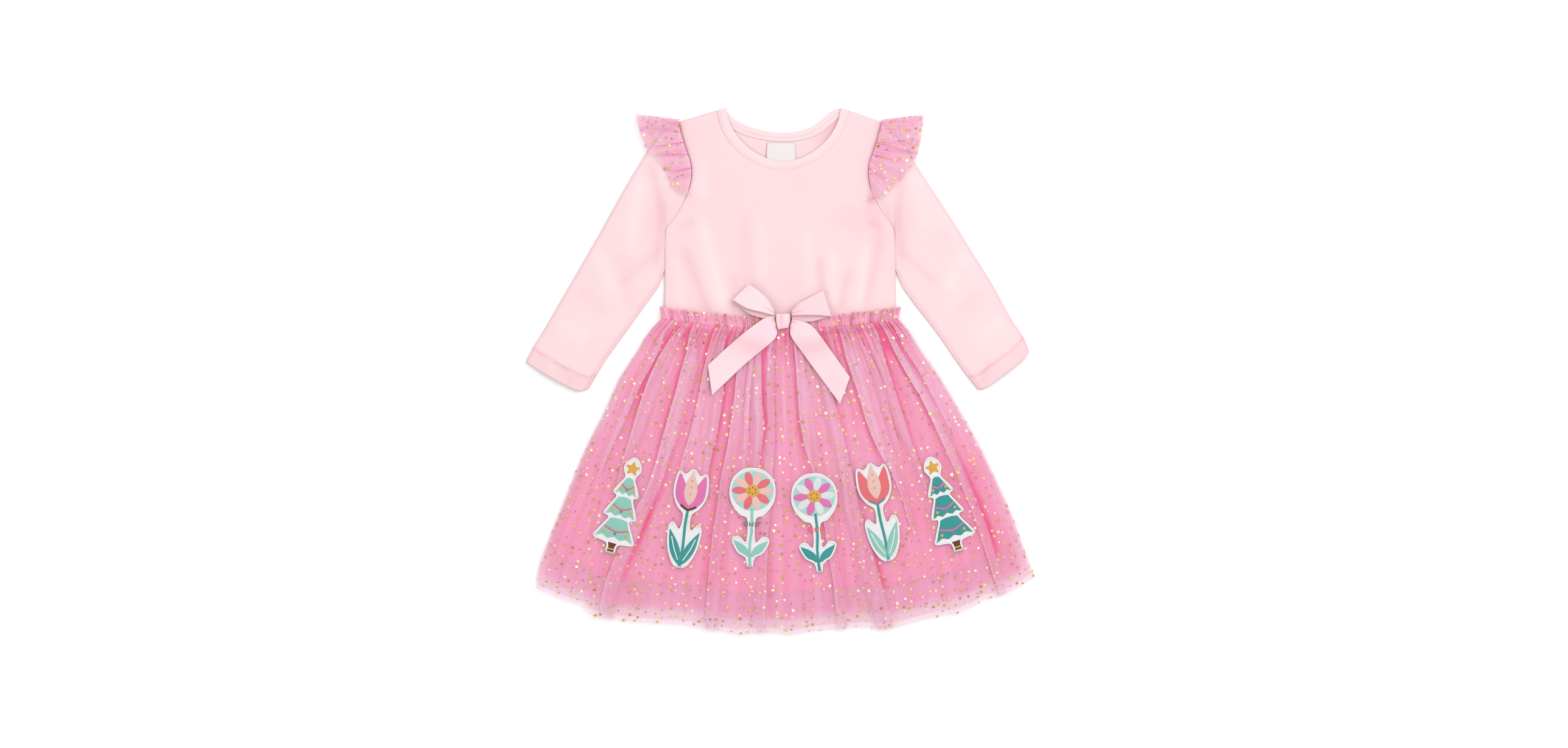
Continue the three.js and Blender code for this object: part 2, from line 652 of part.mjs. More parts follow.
function makeFrontTulle() {
  const downs = TULLE_ROWS.map((row) => row.down);
  return layer(steps(2 * GATHERS), downs, WALL.tulle, (share, down, i, j) => {
    const p = skirtPoint(share, down);
    const { level, gather, fold } = TULLE_ROWS[j];
    const gathers = gather * (i % 2);
    const folds = fold * (0.5 - 0.5 * Math.cos(2 * Math.PI * FOLDS * share));
    const high = level + mix(gathers + folds, PATCH_BED.height, patchBed(share, down));
    const edge = clamp01(Math.min(share, 1 - share) / TULLE_EDGE) ** 0.8;
    return { x: p.x, y: p.y, low: mix(LEVEL.backTulle + WALL.tulle + SEAM, high, edge) };
  });
}

function makeBackTulle() {
  const { inset, reach } = BACK_TULLE;
  const downs = [-0.035, 0, 0.25, 0.5, 0.75, 1];
  return layer(steps(26), downs, WALL.tulle, (u, v) => {
    const p = skirtPoint(mix(inset, 1 - inset, u), v * (v > 0 ? reach : 1));
    return { x: p.x, y: p.y, low: LEVEL.backTulle };
  });
}

/** A plain layer under the tulle, with soft waves that grow down its length. */
function makeUnderLayer(size, thick, level, wave) {
  const count = wave > 0 ? 2 * size.folds : 12;
  return layer(steps(count), [0, 0.25, 0.6, 1], thick, (u, v) => {
    const p = skirtPoint(mix(size.inset, 1 - size.inset, u), mix(FIRST_ROW, size.reach, v));
    const rise = wave * ease(v / 0.3) * (0.5 - 0.5 * Math.cos(2 * Math.PI * size.folds * u));
    return { x: p.x, y: p.y, low: level + rise };
  });
}

/** One loop of the bow: a band of ribbon that runs out from the knot, turns and comes back beneath itself. */
function makeBowLoop(name) {
  const rows = BOW_LOOPS[name];
  const along = (key) => curveThrough(rows.map((row) => ({ x: row[`${key}X`], y: row[`${key}Y`] })));
  const edges = { up: along("up"), front: along("front"), back: along("back") };
  const out = steps(LOOP.steps).map((t) => ({ t, turn: 0, lower: "front" }));
  const round = steps(LOOP.turns).slice(1, -1).map((turn) => ({ t: 1, turn, lower: "front" }));
  const home = steps(LOOP.steps).reverse().map((t) => ({ t, turn: 1, lower: "back" }));
  const radius = (LOOP.frontLevel - LOOP.backLevel) / 2;
  return wallOnGrid([...out, ...round, ...home].map(({ t, turn, lower }) =>
    steps(LOOP.across).map((w) => {
      const p = mixPoint(edges.up.getPoint(t), edges[lower].getPoint(t), w);
      const away = Math.sign(rows[3].upX) * radius * Math.sin(Math.PI * turn);
      const crown = turn === 0 ? LOOP.frontCrown * Math.sin(Math.PI * t) : 0;
      const z = LOOP.backLevel + radius * (1 + Math.cos(Math.PI * turn)) + crown;
      return new THREE.Vector3(p.x + away, p.y, z);
    }),
  ), WALL.ribbon);
}

/** One tail of the bow, lying down over the gathers. */
function makeBowTail(name) {
  const rows = BOW_TAILS[name];
  const up = curveThrough(rows.map((row) => ({ x: row.upX, y: row.upY })));
  const low = curveThrough(rows.map((row) => ({ x: row.lowX, y: row.lowY })));
  const rest = [...TAIL_REST].reverse();
  return layer(steps(TAIL_STEPS.across), steps(TAIL_STEPS.along), WALL.ribbon, (u, v) => {
    const p = mixPoint(up.getPoint(v), low.getPoint(v), u);
    return { x: p.x, y: p.y, low: column(rest, "y", "level", p.y) };
  });
}

function makeKnot() {
  const { foot, height, bevel } = KNOT;
  const middle = new THREE.Vector2(3.4, 54);
  const size = new THREE.Vector2(8.4, 8.5);
  const shape = new THREE.Shape(
    KNOT_OUTLINE.map(({ x, y }) => {
      const out = new THREE.Vector2(x, y).sub(middle);
      return middle.clone().add(out.multiply(new THREE.Vector2(1 - bevel / size.x, 1 - bevel / size.y)));
    }),
  );
  const settings = { depth: height - 2 * bevel, bevelSize: bevel, bevelThickness: bevel, bevelSegments: 3 };
  return new THREE.ExtrudeGeometry(shape, settings).translate(0, 0, foot + bevel);
}

/** One sewn-on patch: a plate with its motif's outline, turned to run down the skirt's folds. */
function makePatch({ motif, share, down }) {
  const half = curveThrough(MOTIFS[motif].map(({ out, up }) => ({ x: out, y: up })));
  const right = steps(OUTLINE_STEPS).map((t) => half.getPointAt(t));
  const left = right.map((p) => new THREE.Vector2(-p.x, p.y)).reverse();
  const shape = new THREE.Shape([...right, ...left]);
  const middle = skirtPoint(share, down);
  const run = skirtPoint(share, down - 0.1).sub(skirtPoint(share, down + 0.1));
  const level = column(TULLE_ROWS, "down", "level", down) + PATCH_BED.height + WALL.tulle + SEAM;
  return new THREE.ExtrudeGeometry(shape, { depth: WALL.patch, bevelEnabled: false })
    .rotateZ(run.angle() - Math.PI / 2)
    .translate(middle.x, middle.y, level);
}

/** A named mesh in its cloth's colour. */
function piece(name, geometry, colour, roughness = 0.85) {
  const material = new THREE.MeshStandardMaterial({ color: colour, roughness, metalness: 0 });
  const mesh = new THREE.Mesh(geometry, material);
  mesh.name = name;
  return mesh;
}

const dress = new THREE.Group();
dress.add(
  piece("skirt_tulle_back", makeBackTulle(), COLOUR.tulle),
  piece("under_tulle_back", makeUnderLayer(UNDER_TULLE, WALL.tulle, LEVEL.backUnder, 0), COLOUR.underTulle),
  piece("lining_back", makeUnderLayer(LINING, WALL.lining, LEVEL.backLining, 0), COLOUR.lining),
  piece("lining_front", makeUnderLayer(LINING, WALL.lining, LEVEL.frontLining, 0), COLOUR.lining),
  piece(
    "under_tulle_front",
    makeUnderLayer(UNDER_TULLE, WALL.tulle, LEVEL.frontUnder, UNDER_TULLE.wave),
    COLOUR.underTulle,
  ),
  piece("skirt_tulle_front", makeFrontTulle(), COLOUR.tulle),
  piece("bodice_back", makeBodiceBack(), COLOUR.jersey),
  piece("bodice_front", makeBodiceFront(), COLOUR.jersey),
  piece("neckband_back", makeNeckband("back"), COLOUR.jersey),
  piece("neckband_front", makeNeckband("front"), COLOUR.jersey),
  piece("neck_label", makeLabel(), COLOUR.label),
  piece("sleeve_left", makeSleeve("left", -1), COLOUR.jersey),
  piece("sleeve_right", makeSleeve("right", 1), COLOUR.jersey),
  piece("ruffle_left", makeRuffle("left", -1), COLOUR.tulle),
  piece("ruffle_right", makeRuffle("right", 1), COLOUR.tulle),
  piece("bow_loop_left", makeBowLoop("left"), COLOUR.ribbon, 0.4),
  piece("bow_loop_right", makeBowLoop("right"), COLOUR.ribbon, 0.4),
  piece("bow_tail_left", makeBowTail("left"), COLOUR.ribbon, 0.4),
  piece("bow_tail_right", makeBowTail("right"), COLOUR.ribbon, 0.4),
  piece("bow_knot", makeKnot(), COLOUR.ribbon, 0.4),
);
PATCHES.forEach((patch, k) => dress.add(piece(`patch_${k + 1}`, makePatch(patch), COLOUR.patch)));

export default dress;
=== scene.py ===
"""A toddler's party dress, laid flat and face up on a white table.

A pale jersey bodice with long sleeves and a neckband, two tulle flutter ruffles, a gathered skirt of starred
tulle over under-tulle and lining, a satin ribbon bow and six sewn-on patches.
Sizes in the tables are millimetres in the frame's own axes: X to the viewer's right, Y to the neck, Z up.
"""

import logging
import math
from dataclasses import dataclass, field
from enum import Enum
from typing import Callable, NamedTuple, Sequence

import bpy
import numpy as np
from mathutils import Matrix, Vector


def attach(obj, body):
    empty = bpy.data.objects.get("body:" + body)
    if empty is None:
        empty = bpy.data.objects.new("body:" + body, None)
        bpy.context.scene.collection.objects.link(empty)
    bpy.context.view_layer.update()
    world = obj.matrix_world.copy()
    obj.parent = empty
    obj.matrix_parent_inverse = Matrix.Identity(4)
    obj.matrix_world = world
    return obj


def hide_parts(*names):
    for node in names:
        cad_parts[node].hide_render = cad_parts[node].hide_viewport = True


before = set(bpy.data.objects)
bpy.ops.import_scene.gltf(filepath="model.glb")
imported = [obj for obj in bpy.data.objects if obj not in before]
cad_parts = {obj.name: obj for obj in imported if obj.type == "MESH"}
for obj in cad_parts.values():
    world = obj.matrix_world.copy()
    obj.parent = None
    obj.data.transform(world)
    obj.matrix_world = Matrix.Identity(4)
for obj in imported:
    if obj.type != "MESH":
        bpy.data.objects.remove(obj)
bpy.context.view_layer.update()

MM = 0.001
BODY = "root"
LOG = logging.getLogger("dress")
Grid = np.ndarray
Point = tuple[float, float]
Colour = tuple[float, float, float, float]
Edge = Callable[[Grid], Grid]  # a line in plan, by the share along it

# Lines and planes of the cut


def mix(a: Grid | float, b: Grid | float, t: Grid | float) -> Grid | float:
    """The value between a and b at the share t."""
    return a + (b - a) * t


def ease(t: Grid | float) -> Grid:
    """A smooth step from 0 to 1."""
    t = np.clip(t, 0, 1)
    return t * t * (3 - 2 * t)


def ridge(distance: Grid | float, width: float) -> Grid:
    """A soft bump of height 1 that falls off within the width."""
    return np.exp(-((distance / width) ** 2))


def read_table(rows: Sequence[Sequence[float]], place: Grid) -> list[Grid]:
    """The columns of a table after its first, read at places along the first."""
    table = np.array(rows, float)
    return [np.interp(place, table[:, 0], table[:, k]) for k in range(1, table.shape[1])]


def smooth_rows(values: Grid, reach: int) -> Grid:
    """Rounds the kinks of a run of values.

    Args:
        values: the values, one for each row.
        reach: how many neighbours on each side are blended in.

    Returns:
        As many values.
    """
    padded = np.pad(values, reach, mode="edge")
    weights = np.hanning(2 * reach + 3)[1:-1]
    return np.convolve(padded, weights / weights.sum(), mode="valid")


def lengths(points: Grid, axis: int = 0) -> Grid:
    """How far each point lies from the first one, measured along its row or column."""
    steps = np.linalg.norm(np.diff(points, axis=axis), axis=-1)
    return np.insert(np.cumsum(steps, axis=axis), 0, 0.0, axis=axis)


def lifted(plan: Grid, height: Grid | float) -> Grid:
    """The points of a plan at a height each."""
    return np.concatenate([plan, np.broadcast_to(height, plan.shape[:-1])[..., None]], -1)


def unit(vectors: Grid) -> Grid:
    """The vectors at a length of 1."""
    return vectors / np.maximum(np.linalg.norm(vectors, axis=-1, keepdims=True), 1e-9)


def squared_off(value: Grid, power: float) -> Grid:
    """A sine or cosine to a power that keeps its sign: a power below 1 makes a circle boxy."""
    return np.sign(value) * np.abs(value) ** power


def swell(turns: Grid) -> Grid:
    """A wave from 0 to 1 and back in each turn."""
    return 0.5 - 0.5 * np.cos(2 * math.pi * turns)


class SeamLine:
    """A smooth line through the points of a table."""

    STEPS = 401  # places at which its length is measured

    def __init__(self, points: Sequence[Sequence[float]], side: float = 1) -> None:
        """Keeps the points.

        Args:
            points: x and y of each point, in millimetres.
            side: 1 as given, -1 mirrored to the viewer's left.
        """
        self.points = np.array(points, float)[:, :2] * (side, 1)
        self.run = lengths(self.at(np.linspace(0, 1, self.STEPS)))
        self.length = float(self.run[-1])

    def at(self, t: Grid | float) -> Grid:
        """Reads the line.

        Args:
            t: shares that are equal between neighbouring points of the table.

        Returns:
            The x and y at each share.
        """
        last = len(self.points) - 1
        place = np.clip(np.asarray(t, float), 0, 1) * last
        k = np.clip(np.floor(place).astype(int), 0, last - 1)
        w = (place - k)[..., None]
        p0, p1, p2, p3 = (self.points[np.clip(k + d, 0, last)] for d in (-1, 0, 1, 2))
        v0, v1 = (p2 - p0) / 2, (p3 - p1) / 2
        return (2 * p1 - 2 * p2 + v0 + v1) * w**3 + (-3 * p1 + 3 * p2 - 2 * v0 - v1) * w**2 + v0 * w + p1

    def even(self, share: Grid | float) -> Grid:
        """The line's points at shares of its length."""
        return self.at(np.interp(np.asarray(share) * self.length, self.run, np.linspace(0, 1, self.STEPS)))


def between(foot: Edge, head: Edge, left: Edge, right: Edge, u: Grid, v: Grid) -> Grid:
    """Cloth between four edges.

    Args:
        foot: the edge at v = 0, by the share u.
        head: the edge at v = 1, by the share u.
        left: the edge at u = 0, by the share v.
        right: the edge at u = 1, by the share v.
        u: shares across.
        v: shares along.

    Returns:
        The x and y of each place.
    """
    across, along = u[..., None], v[..., None]
    ends = np.array([0.0, 1.0])
    (foot0, foot1), (head0, head1) = foot(ends), head(ends)
    corners = mix(mix(foot0, foot1, across), mix(head0, head1, across), along)
    return mix(foot(u), head(u), along) + mix(left(v), right(v), across) - corners


# The sizes that this file shares with the CAD model
SEAM = 0.3
HALF_CHEST = 123.5
WAIST_HALF, WAIST_SIDE_Y, WAIST_MIDDLE_Y = 126.8, 57.0, 46.0
HEADING, HEADING_SPREAD, HEADING_DOWN = 12.5, 1.02, -0.037
PATCH_LEVEL_GAP = 2.5  # from the tulle's level to the underside of a patch
PATCH_BED_TOP = 10.2

# The armhole seam of the right side, from the shoulder's outer end down to the underarm: x, y
ARMHOLE = SeamLine(
    [
        (108.2, 267.2), (105.4, 255.5), (102, 244), (98.5, 233.5), (95.5, 224.5), (94.2, 215), (94.8, 205),
        (97.5, 194.5), (101.3, 185.5), (108, 173), (114.5, 163), (HALF_CHEST, 152),
    ],
)

# Skirt outline: both side edges down from the waist, and the hem as shares of its width
SKIRT_LEFT = SeamLine(
    [
        (-126.8, 57), (-140.1, 42.9), (-152.4, 23.4), (-171.3, -5.9), (-189.5, -44.9), (-209, -83.9),
        (-233, -142.4), (-248.6, -181.4), (-258.8, -210), (-261, -231.4),
    ],
)
SKIRT_RIGHT = SeamLine(
    [
        (126.8, 57), (138.8, 42.9), (151.1, 23.4), (171.5, -5.9), (194.5, -44.9), (216, -83.9),
        (243.4, -142.4), (258.4, -181.4), (267, -204), (272, -219),
    ],
)
HEM = np.array(
    [
        (0, -231.4), (0.055, -243.8), (0.0915, -249.6), (0.11, -259.4), (0.146, -263.9), (0.22, -268.5),
        (0.293, -270.4), (0.366, -276.3), (0.402, -281.2), (0.44, -279.3), (0.476, -278.9), (0.51, -282),
        (0.549, -277.6), (0.622, -273.7), (0.671, -273), (0.701, -275), (0.732, -271.7), (0.768, -266.5),
        (0.805, -261.3), (0.8415, -259.4), (0.878, -250.9), (0.896, -243.8), (0.933, -239.2),
        (0.97, -230.1), (1, -219),
    ],
)


def waist_line(share: Grid, half_width: float = WAIST_HALF) -> Grid:
    """The waist seam at shares across a piece of that half width."""
    x = mix(-half_width, half_width, share)
    return np.stack([x, mix(WAIST_MIDDLE_Y, WAIST_SIDE_Y, (x / WAIST_HALF) ** 2)], -1)


def hem_line(share: Grid) -> Grid:
    """The skirt's hem at shares across it."""
    x = mix(SKIRT_LEFT.points[-1, 0], SKIRT_RIGHT.points[-1, 0], share)
    return np.stack([x, np.interp(share, HEM[:, 0], HEM[:, 1])], -1)


def skirt_plan(share: Grid, down: Grid) -> Grid:
    """Where the skirt's cloth lies.

    Args:
        share: shares across the skirt.
        down: shares down it. Below 0, above the waist seam, is the heading.

    Returns:
        The x and y of each place.
    """
    body = between(waist_line, hem_line, SKIRT_LEFT.even, SKIRT_RIGHT.even, share, np.maximum(down, 0))
    up = np.clip(down / HEADING_DOWN, 0, None)[..., None]
    top = waist_line(share)
    heading = np.concatenate([top[..., :1] * mix(1, HEADING_SPREAD, up), top[..., 1:] + HEADING * up], -1)
    return np.where(down[..., None] < 0, heading, body)


# Shader wiring


def colour(red: float, green: float, blue: float) -> Colour:
    """Turns a colour into what the shader wants.

    Args:
        red: from 0 to 255, as are the others.
        green: its green.
        blue: its blue.

    Returns:
        The colour in linear values from 0 to 1, and a 1 for its cover.
    """
    parts = [c / 255 for c in (red, green, blue)]
    linear = [c / 12.92 if c <= 0.04045 else ((c + 0.055) / 1.055) ** 2.4 for c in parts]
    return (linear[0], linear[1], linear[2], 1.0)


class Wire:
    """An output of a node. Arithmetic on it adds Math nodes."""

    def __init__(self, shader: "Shader", socket: bpy.types.NodeSocket) -> None:
        """Keeps the output and the shader that it belongs to."""
        self.shader = shader
        self.socket = socket

    def math(self, operation: str, *values: "Wire | float", clamp: bool = False) -> "Wire":
        """The result of a Math node on this output and further values, kept from 0 to 1 if clamped."""
        settings = {"operation": operation, "use_clamp": clamp}
        return self.shader.wire("ShaderNodeMath", settings, dict(enumerate([self, *values])))

    def __add__(self, other: "Wire | float") -> "Wire":
        """Sum."""
        return self.math("ADD", other)

    def __mul__(self, other: "Wire | float") -> "Wire":
        """Product."""
        return self.math("MULTIPLY", other)

    __radd__ = __add__
    __rmul__ = __mul__

    def __sub__(self, other: "Wire | float") -> "Wire":
        """Difference."""
        return self.math("SUBTRACT", other)

    def __rsub__(self, other: float) -> "Wire":
        """Difference from a number."""
        return (self * -1.0) + other

    def sine(self) -> "Wire":
        """Its sine."""
        return self.math("SINE")

    def size(self) -> "Wire":
        """Its value without the sign."""
        return self.math("ABSOLUTE")

    def clipped(self) -> "Wire":
        """Its value kept from 0 to 1."""
        return self.math("ADD", 0.0, clamp=True)


class Shader:
    """The nodes of one material, round one Principled shader."""

    def __init__(self, name: str) -> None:
        """Starts a material.

        Args:
            name: the material's name.
        """
        self.material = bpy.data.materials.new(name)
        self.material.use_nodes = True
        self.nodes = self.material.node_tree.nodes
        self.links = self.material.node_tree.links
        self.surface = next(n for n in self.nodes if n.type == "BSDF_PRINCIPLED")

    def node(self, kind: str, settings: dict[str, object], inputs: dict[int | str, object]) -> bpy.types.Node:
        """Adds a node.

        Args:
            kind: the node's type.
            settings: its own settings, which are made first.
            inputs: values or wires by input.

        Returns:
            The node.
        """
        made = self.nodes.new(kind)
        for key, value in settings.items():
            setattr(made, key, value)
        for key, value in inputs.items():
            self.connect(made.inputs[key], value)
        return made

    def wire(
        self, kind: str, settings: dict[str, object], inputs: dict[int | str, object], output: int | str = 0
    ) -> Wire:
        """Adds a node and gives one of its outputs."""
        return Wire(self, self.node(kind, settings, inputs).outputs[output])

    def connect(self, socket: bpy.types.NodeSocket, value: object) -> None:
        """Gives an input its value.

        Args:
            socket: the input.
            value: a wire to link to it, or a constant to set.
        """
        if isinstance(value, Wire):
            self.links.new(value.socket, socket)
        else:
            socket.default_value = value

    def set(self, **values: object) -> None:
        """Sets inputs of the Principled shader, named with _ for a space."""
        for key, value in values.items():
            self.connect(self.surface.inputs[key.replace("_", " ")], value)

    def cloth(self) -> tuple[Wire, Wire]:
        """Reads the place on the cloth.

        Returns:
            Millimetres across, and millimetres along.
        """
        mapped = self.wire("ShaderNodeUVMap", {"uv_map": "Cloth"}, {}, "UV")
        parts = self.node("ShaderNodeSeparateXYZ", {}, {0: mapped})
        return Wire(self, parts.outputs[0]) * 1000.0, Wire(self, parts.outputs[1]) * 1000.0

    def place(self) -> Wire:
        """The place on the object, in metres."""
        return self.wire("ShaderNodeTexCoord", {}, {}, "Object")

    def tint(self, name: str) -> Wire:
        """A number kept in the mesh."""
        return self.wire("ShaderNodeAttribute", {"attribute_name": name}, {}, "Fac")

    def noise(self, scale: float, detail: float = 2.0, where: Wire | None = None) -> Wire:
        """Cloudy values round 0.5.

        Args:
            scale: how many clouds to a metre.
            detail: how fine their edges are.
            where: the place to read them at, or the place on the object.

        Returns:
            The value.
        """
        inputs = {"Vector": where or self.place(), "Scale": scale, "Detail": detail}
        return self.wire("ShaderNodeTexNoise", {}, inputs, 0)

    def blend(self, share: Wire | float, first: object, second: object, how: str = "MIX") -> Wire:
        """A colour between two, by a share."""
        settings = {"data_type": "RGBA", "blend_type": how}
        return self.wire("ShaderNodeMix", settings, {0: share, 6: first, 7: second}, 2)

    def bump(self, height: Wire, depth: float, strength: float = 1.0) -> None:
        """Lets a height in units of depth, in metres, stand out of the surface."""
        inputs = {"Height": height, "Distance": depth, "Strength": strength}
        self.set(Normal=self.wire("ShaderNodeBump", {}, inputs))


# Finishes


class Slot(Enum):
    """The finish slots."""

    JERSEY = "jersey"
    TULLE = "tulle"
    UNDER_TULLE = "under_tulle"
    LINING = "lining"
    RIBBON = "ribbon"
    LABEL = "label"
    PATCH = "patch"


class Dressing(NamedTuple):
    """A finish as the pieces wear it: its material, and its slot."""

    material: bpy.types.Material
    slot: Slot


@dataclass(frozen=True)
class Finish:
    """What all finishes share."""

    name: str
    slot: Slot

    def make(self) -> Dressing:
        """Builds the material.

        Returns:
            The material with its slot.
        """
        shader = Shader(self.name)
        self.wire(shader)
        return Dressing(shader.material, self.slot)

    def wire(self, shader: Shader) -> None:
        """Adds the finish's own nodes to a fresh material."""


@dataclass(frozen=True)
class Jersey(Finish):
    """Fine cotton jersey with a soft, brushed look."""

    name: str = "Jersey"
    slot: Slot = Slot.JERSEY
    light: Colour = colour(241, 217, 219)
    deep: Colour = colour(226, 160, 172)
    wale: float = 1.1  # mm between ribs
    course: float = 0.9  # mm between rows

    def wire(self, shader: Shader) -> None:
        """Wires the finish.

        Args:
            shader: its fresh shader.
        """
        across, along = shader.cloth()
        rib = (across * (math.pi / self.wale)).sine().size()
        chevron = (along * (2 * math.pi / self.course) + rib * 2.2).sine() * 0.5 + 0.5
        knit = rib * 0.6 + chevron * 0.4
        cloud = shader.noise(14.0)
        # Painted shade from the mesh, random cloudy tone, and a little painted shade between the knit's ribs.
        deep = shader.tint("shade") + (cloud - 0.5) * 0.16 + (1 - knit) * 0.05
        shader.set(
            Base_Color=shader.blend(deep.clipped(), self.light, self.deep),
            Roughness=0.92,
            Sheen_Weight=0.25,
            Sheen_Roughness=0.5,
        )
        shader.bump(knit + shader.noise(900.0) * 0.5, 0.00012, 0.7)


@dataclass(frozen=True)
class Net(Finish):
    """Soft tulle: a fine net that lets the cloth beneath show, streaked where it is gathered with random
    tone, painted shade and painted highlights.
    """

    name: str = "Tulle"
    slot: Slot = Slot.TULLE
    light: Colour = colour(255, 208, 234)
    bright: Colour = colour(255, 174, 208)
    # deep is the colour of the painted shade beside folds and in gathers; rim is the colour of the painted
    # highlights along fold edges, gather ridges and the free hem.
    deep: Colour = colour(242, 82, 142)
    rim: Colour = colour(255, 224, 240)
    mesh: float = 1.25  # mm between holes
    streaks: float = 1.0  # how strongly the gathers show

    def wire(self, shader: Shader) -> None:
        """Wires the finish.

        Args:
            shader: its fresh shader.
        """
        across, along = shader.cloth()
        wander = shader.noise(120.0, 1.0) * 1.6
        grain = shader.noise(760.0, 1.0) - 0.5
        turn = 2 * math.pi / self.mesh
        cells = (
            (across * turn + wander).sine()
            + (across * (turn * 0.5) + along * (turn * 0.866)).sine()
            + (across * (turn * 0.5) - along * (turn * 0.866) + wander).sine()
        )
        sizes = ((62.0, 2.2), (170.0, 3.5), (330.0, 7.0))
        broad, fine, hair = (self._streak(shader, *size) for size in sizes)
        shade, tone, rim = shader.tint("shade"), shader.tint("tone"), shader.tint("rim")
        near = shader.tint("gathers")
        # Painted highlights along the gathers' ridges (lines) and painted shade in their dips, both strongest
        # near the waist.
        gathered = (hair - 0.5).size() * -14.0 + 1.0
        lines = gathered.clipped() * (near * 0.16 + 0.02) * self.streaks
        dips = ((fine - 0.58) * 3.2).clipped() * (near * 0.3 + 0.03) * self.streaks
        pale = (tone * 0.65 + (broad - 0.5) * 1.6 + (fine - 0.5) * near + grain * 0.25).clipped()
        dark = (shade + dips * (1.0 - pale * 0.6)).clipped()
        cloth = shader.blend(pale, self.bright, self.light)
        shaded = shader.blend(dark, cloth, self.deep)
        cover = shader.tint("cover") + pale * 0.06 + dark * 0.3
        cover = cover + (rim + lines) * 0.25 + cells * 0.02 + grain * 0.12
        shader.set(
            Base_Color=shader.blend((rim * 0.7 + lines).clipped(), shaded, self.rim),
            Alpha=cover.clipped(),
            Roughness=0.7,
            Sheen_Weight=0.2,
            Sheen_Roughness=0.4,
        )
        shader.bump(cells * 0.5 + fine * 2.0, 0.00012, 0.5)

    @staticmethod
    def _streak(shader: Shader, across: float, down: float) -> Wire:
        """Draws clouds out down the cloth.

        Args:
            shader: the shader that they are for.
            across: how many clouds lie across the piece.
            down: how many lie down it.

        Returns:
            Their values round 0.5.
        """
        mapped = shader.wire("ShaderNodeUVMap", {"uv_map": "Gathers"}, {}, "UV")
        drawn = shader.wire("ShaderNodeMapping", {}, {"Vector": mapped, "Scale": (across, down, 1.0)})
        return shader.noise(1.0, 1.5, drawn)


@dataclass(frozen=True)
class Lining(Finish):
    """Smooth woven lining in bright pink."""

    name: str = "Lining"
    slot: Slot = Slot.LINING
    light: Colour = colour(255, 173, 206)
    deep: Colour = colour(252, 152, 190)

    def wire(self, shader: Shader) -> None:
        """Wires the finish.

        Args:
            shader: its fresh shader.
        """
        across, along = shader.cloth()
        weave = (across * 9.0).sine() * (along * 9.0).sine()
        cloud = shader.noise(9.0, 3.0)
        shader.set(Base_Color=shader.blend(cloud, self.light, self.deep), Roughness=0.55, Sheen_Weight=0.15)
        shader.bump(weave, 0.00008, 0.4)


@dataclass(frozen=True)
class Satin(Finish):
    """Double-faced satin ribbon with fine weft lines."""

    name: str = "Satin_ribbon"
    slot: Slot = Slot.RIBBON
    light: Colour = colour(240, 214, 220)
    deep: Colour = colour(226, 156, 168)

    def wire(self, shader: Shader) -> None:
        """Wires the finish.

        Args:
            shader: its fresh shader.
        """
        across, along = shader.cloth()
        weft = (along * 12.0).sine() * 0.5 + (across * 16.0).sine() * 0.2
        cloud = shader.noise(26.0, 1.0)
        deep = shader.tint("shade") + (cloud - 0.5) * 0.3
        shader.set(
            Base_Color=shader.blend(deep.clipped(), self.light, self.deep),
            Roughness=0.38,
            Sheen_Weight=0.3,
            Specular_IOR_Level=0.4,
        )
        shader.bump(weft, 0.00006, 0.35)


@dataclass(frozen=True)
class Foil(Finish):
    """Heat-set gold foil. Each star's tone paints its reflection as it would tilt to the light: dark, gold or
    a glint.
    """

    name: str = "Gold_foil"
    slot: Slot = Slot.TULLE
    dark: Colour = colour(164, 112, 48)
    gold: Colour = colour(226, 182, 84)
    glint: Colour = colour(255, 248, 206)

    def wire(self, shader: Shader) -> None:
        """Wires the finish.

        Args:
            shader: its fresh shader.
        """
        tone = shader.tint("tone")
        lower = shader.blend((tone * 2.0).clipped(), self.dark, self.gold)
        shader.set(
            Base_Color=shader.blend((tone * 2.0 - 1.0).clipped(), lower, self.glint),
            Metallic=0.35,
            Roughness=0.3,
        )
        shader.bump(shader.noise(1600.0), 0.0001, 0.4)


@dataclass(frozen=True)
class Thread(Finish):
    """Shiny embroidery thread in satin stitch. Its colour is kept in the mesh."""

    name: str = "Embroidery_thread"
    slot: Slot = Slot.PATCH
    pitch: float = 0.7  # mm between threads
    groove_shade: Colour = (0.76, 0.74, 0.74, 1.0)

    def wire(self, shader: Shader) -> None:
        """Wires the finish.

        Args:
            shader: its fresh shader.
        """
        across, along = shader.cloth()
        wobble = (along * 0.9).sine() * 0.25
        lines = ((across + wobble) * (math.pi / self.pitch)).sine().size()
        dyed = shader.wire("ShaderNodeAttribute", {"attribute_name": "dye"}, {}, "Color")
        # Painted shade: the dyed colour is darkened in the grooves between the threads.
        darker = shader.blend(1.0, dyed, self.groove_shade, "MULTIPLY")
        shader.set(Base_Color=shader.blend(lines, darker, dyed), Roughness=0.45, Sheen_Weight=0.2)
        shader.bump(lines, 0.0003, 0.9)


@dataclass(frozen=True)
class Woven(Finish):
    """Plain woven white tape for the neck label."""

    name: str = "Label_tape"
    slot: Slot = Slot.LABEL
    light: Colour = colour(230, 224, 223)
    deep: Colour = colour(206, 196, 196)

    def wire(self, shader: Shader) -> None:
        """Wires the finish.

        Args:
            shader: its fresh shader.
        """
        across, along = shader.cloth()
        weave = (across * 8.0).sine() * (along * 8.0).sine() * 0.5 + 0.5
        # Painted shade from the mesh, and a little painted shade between the weave's threads.
        deep = shader.tint("shade") + (1 - weave) * 0.18
        shader.set(Base_Color=shader.blend(deep.clipped(), self.light, self.deep), Roughness=0.7)
        shader.bump(weave, 0.0001, 0.6)


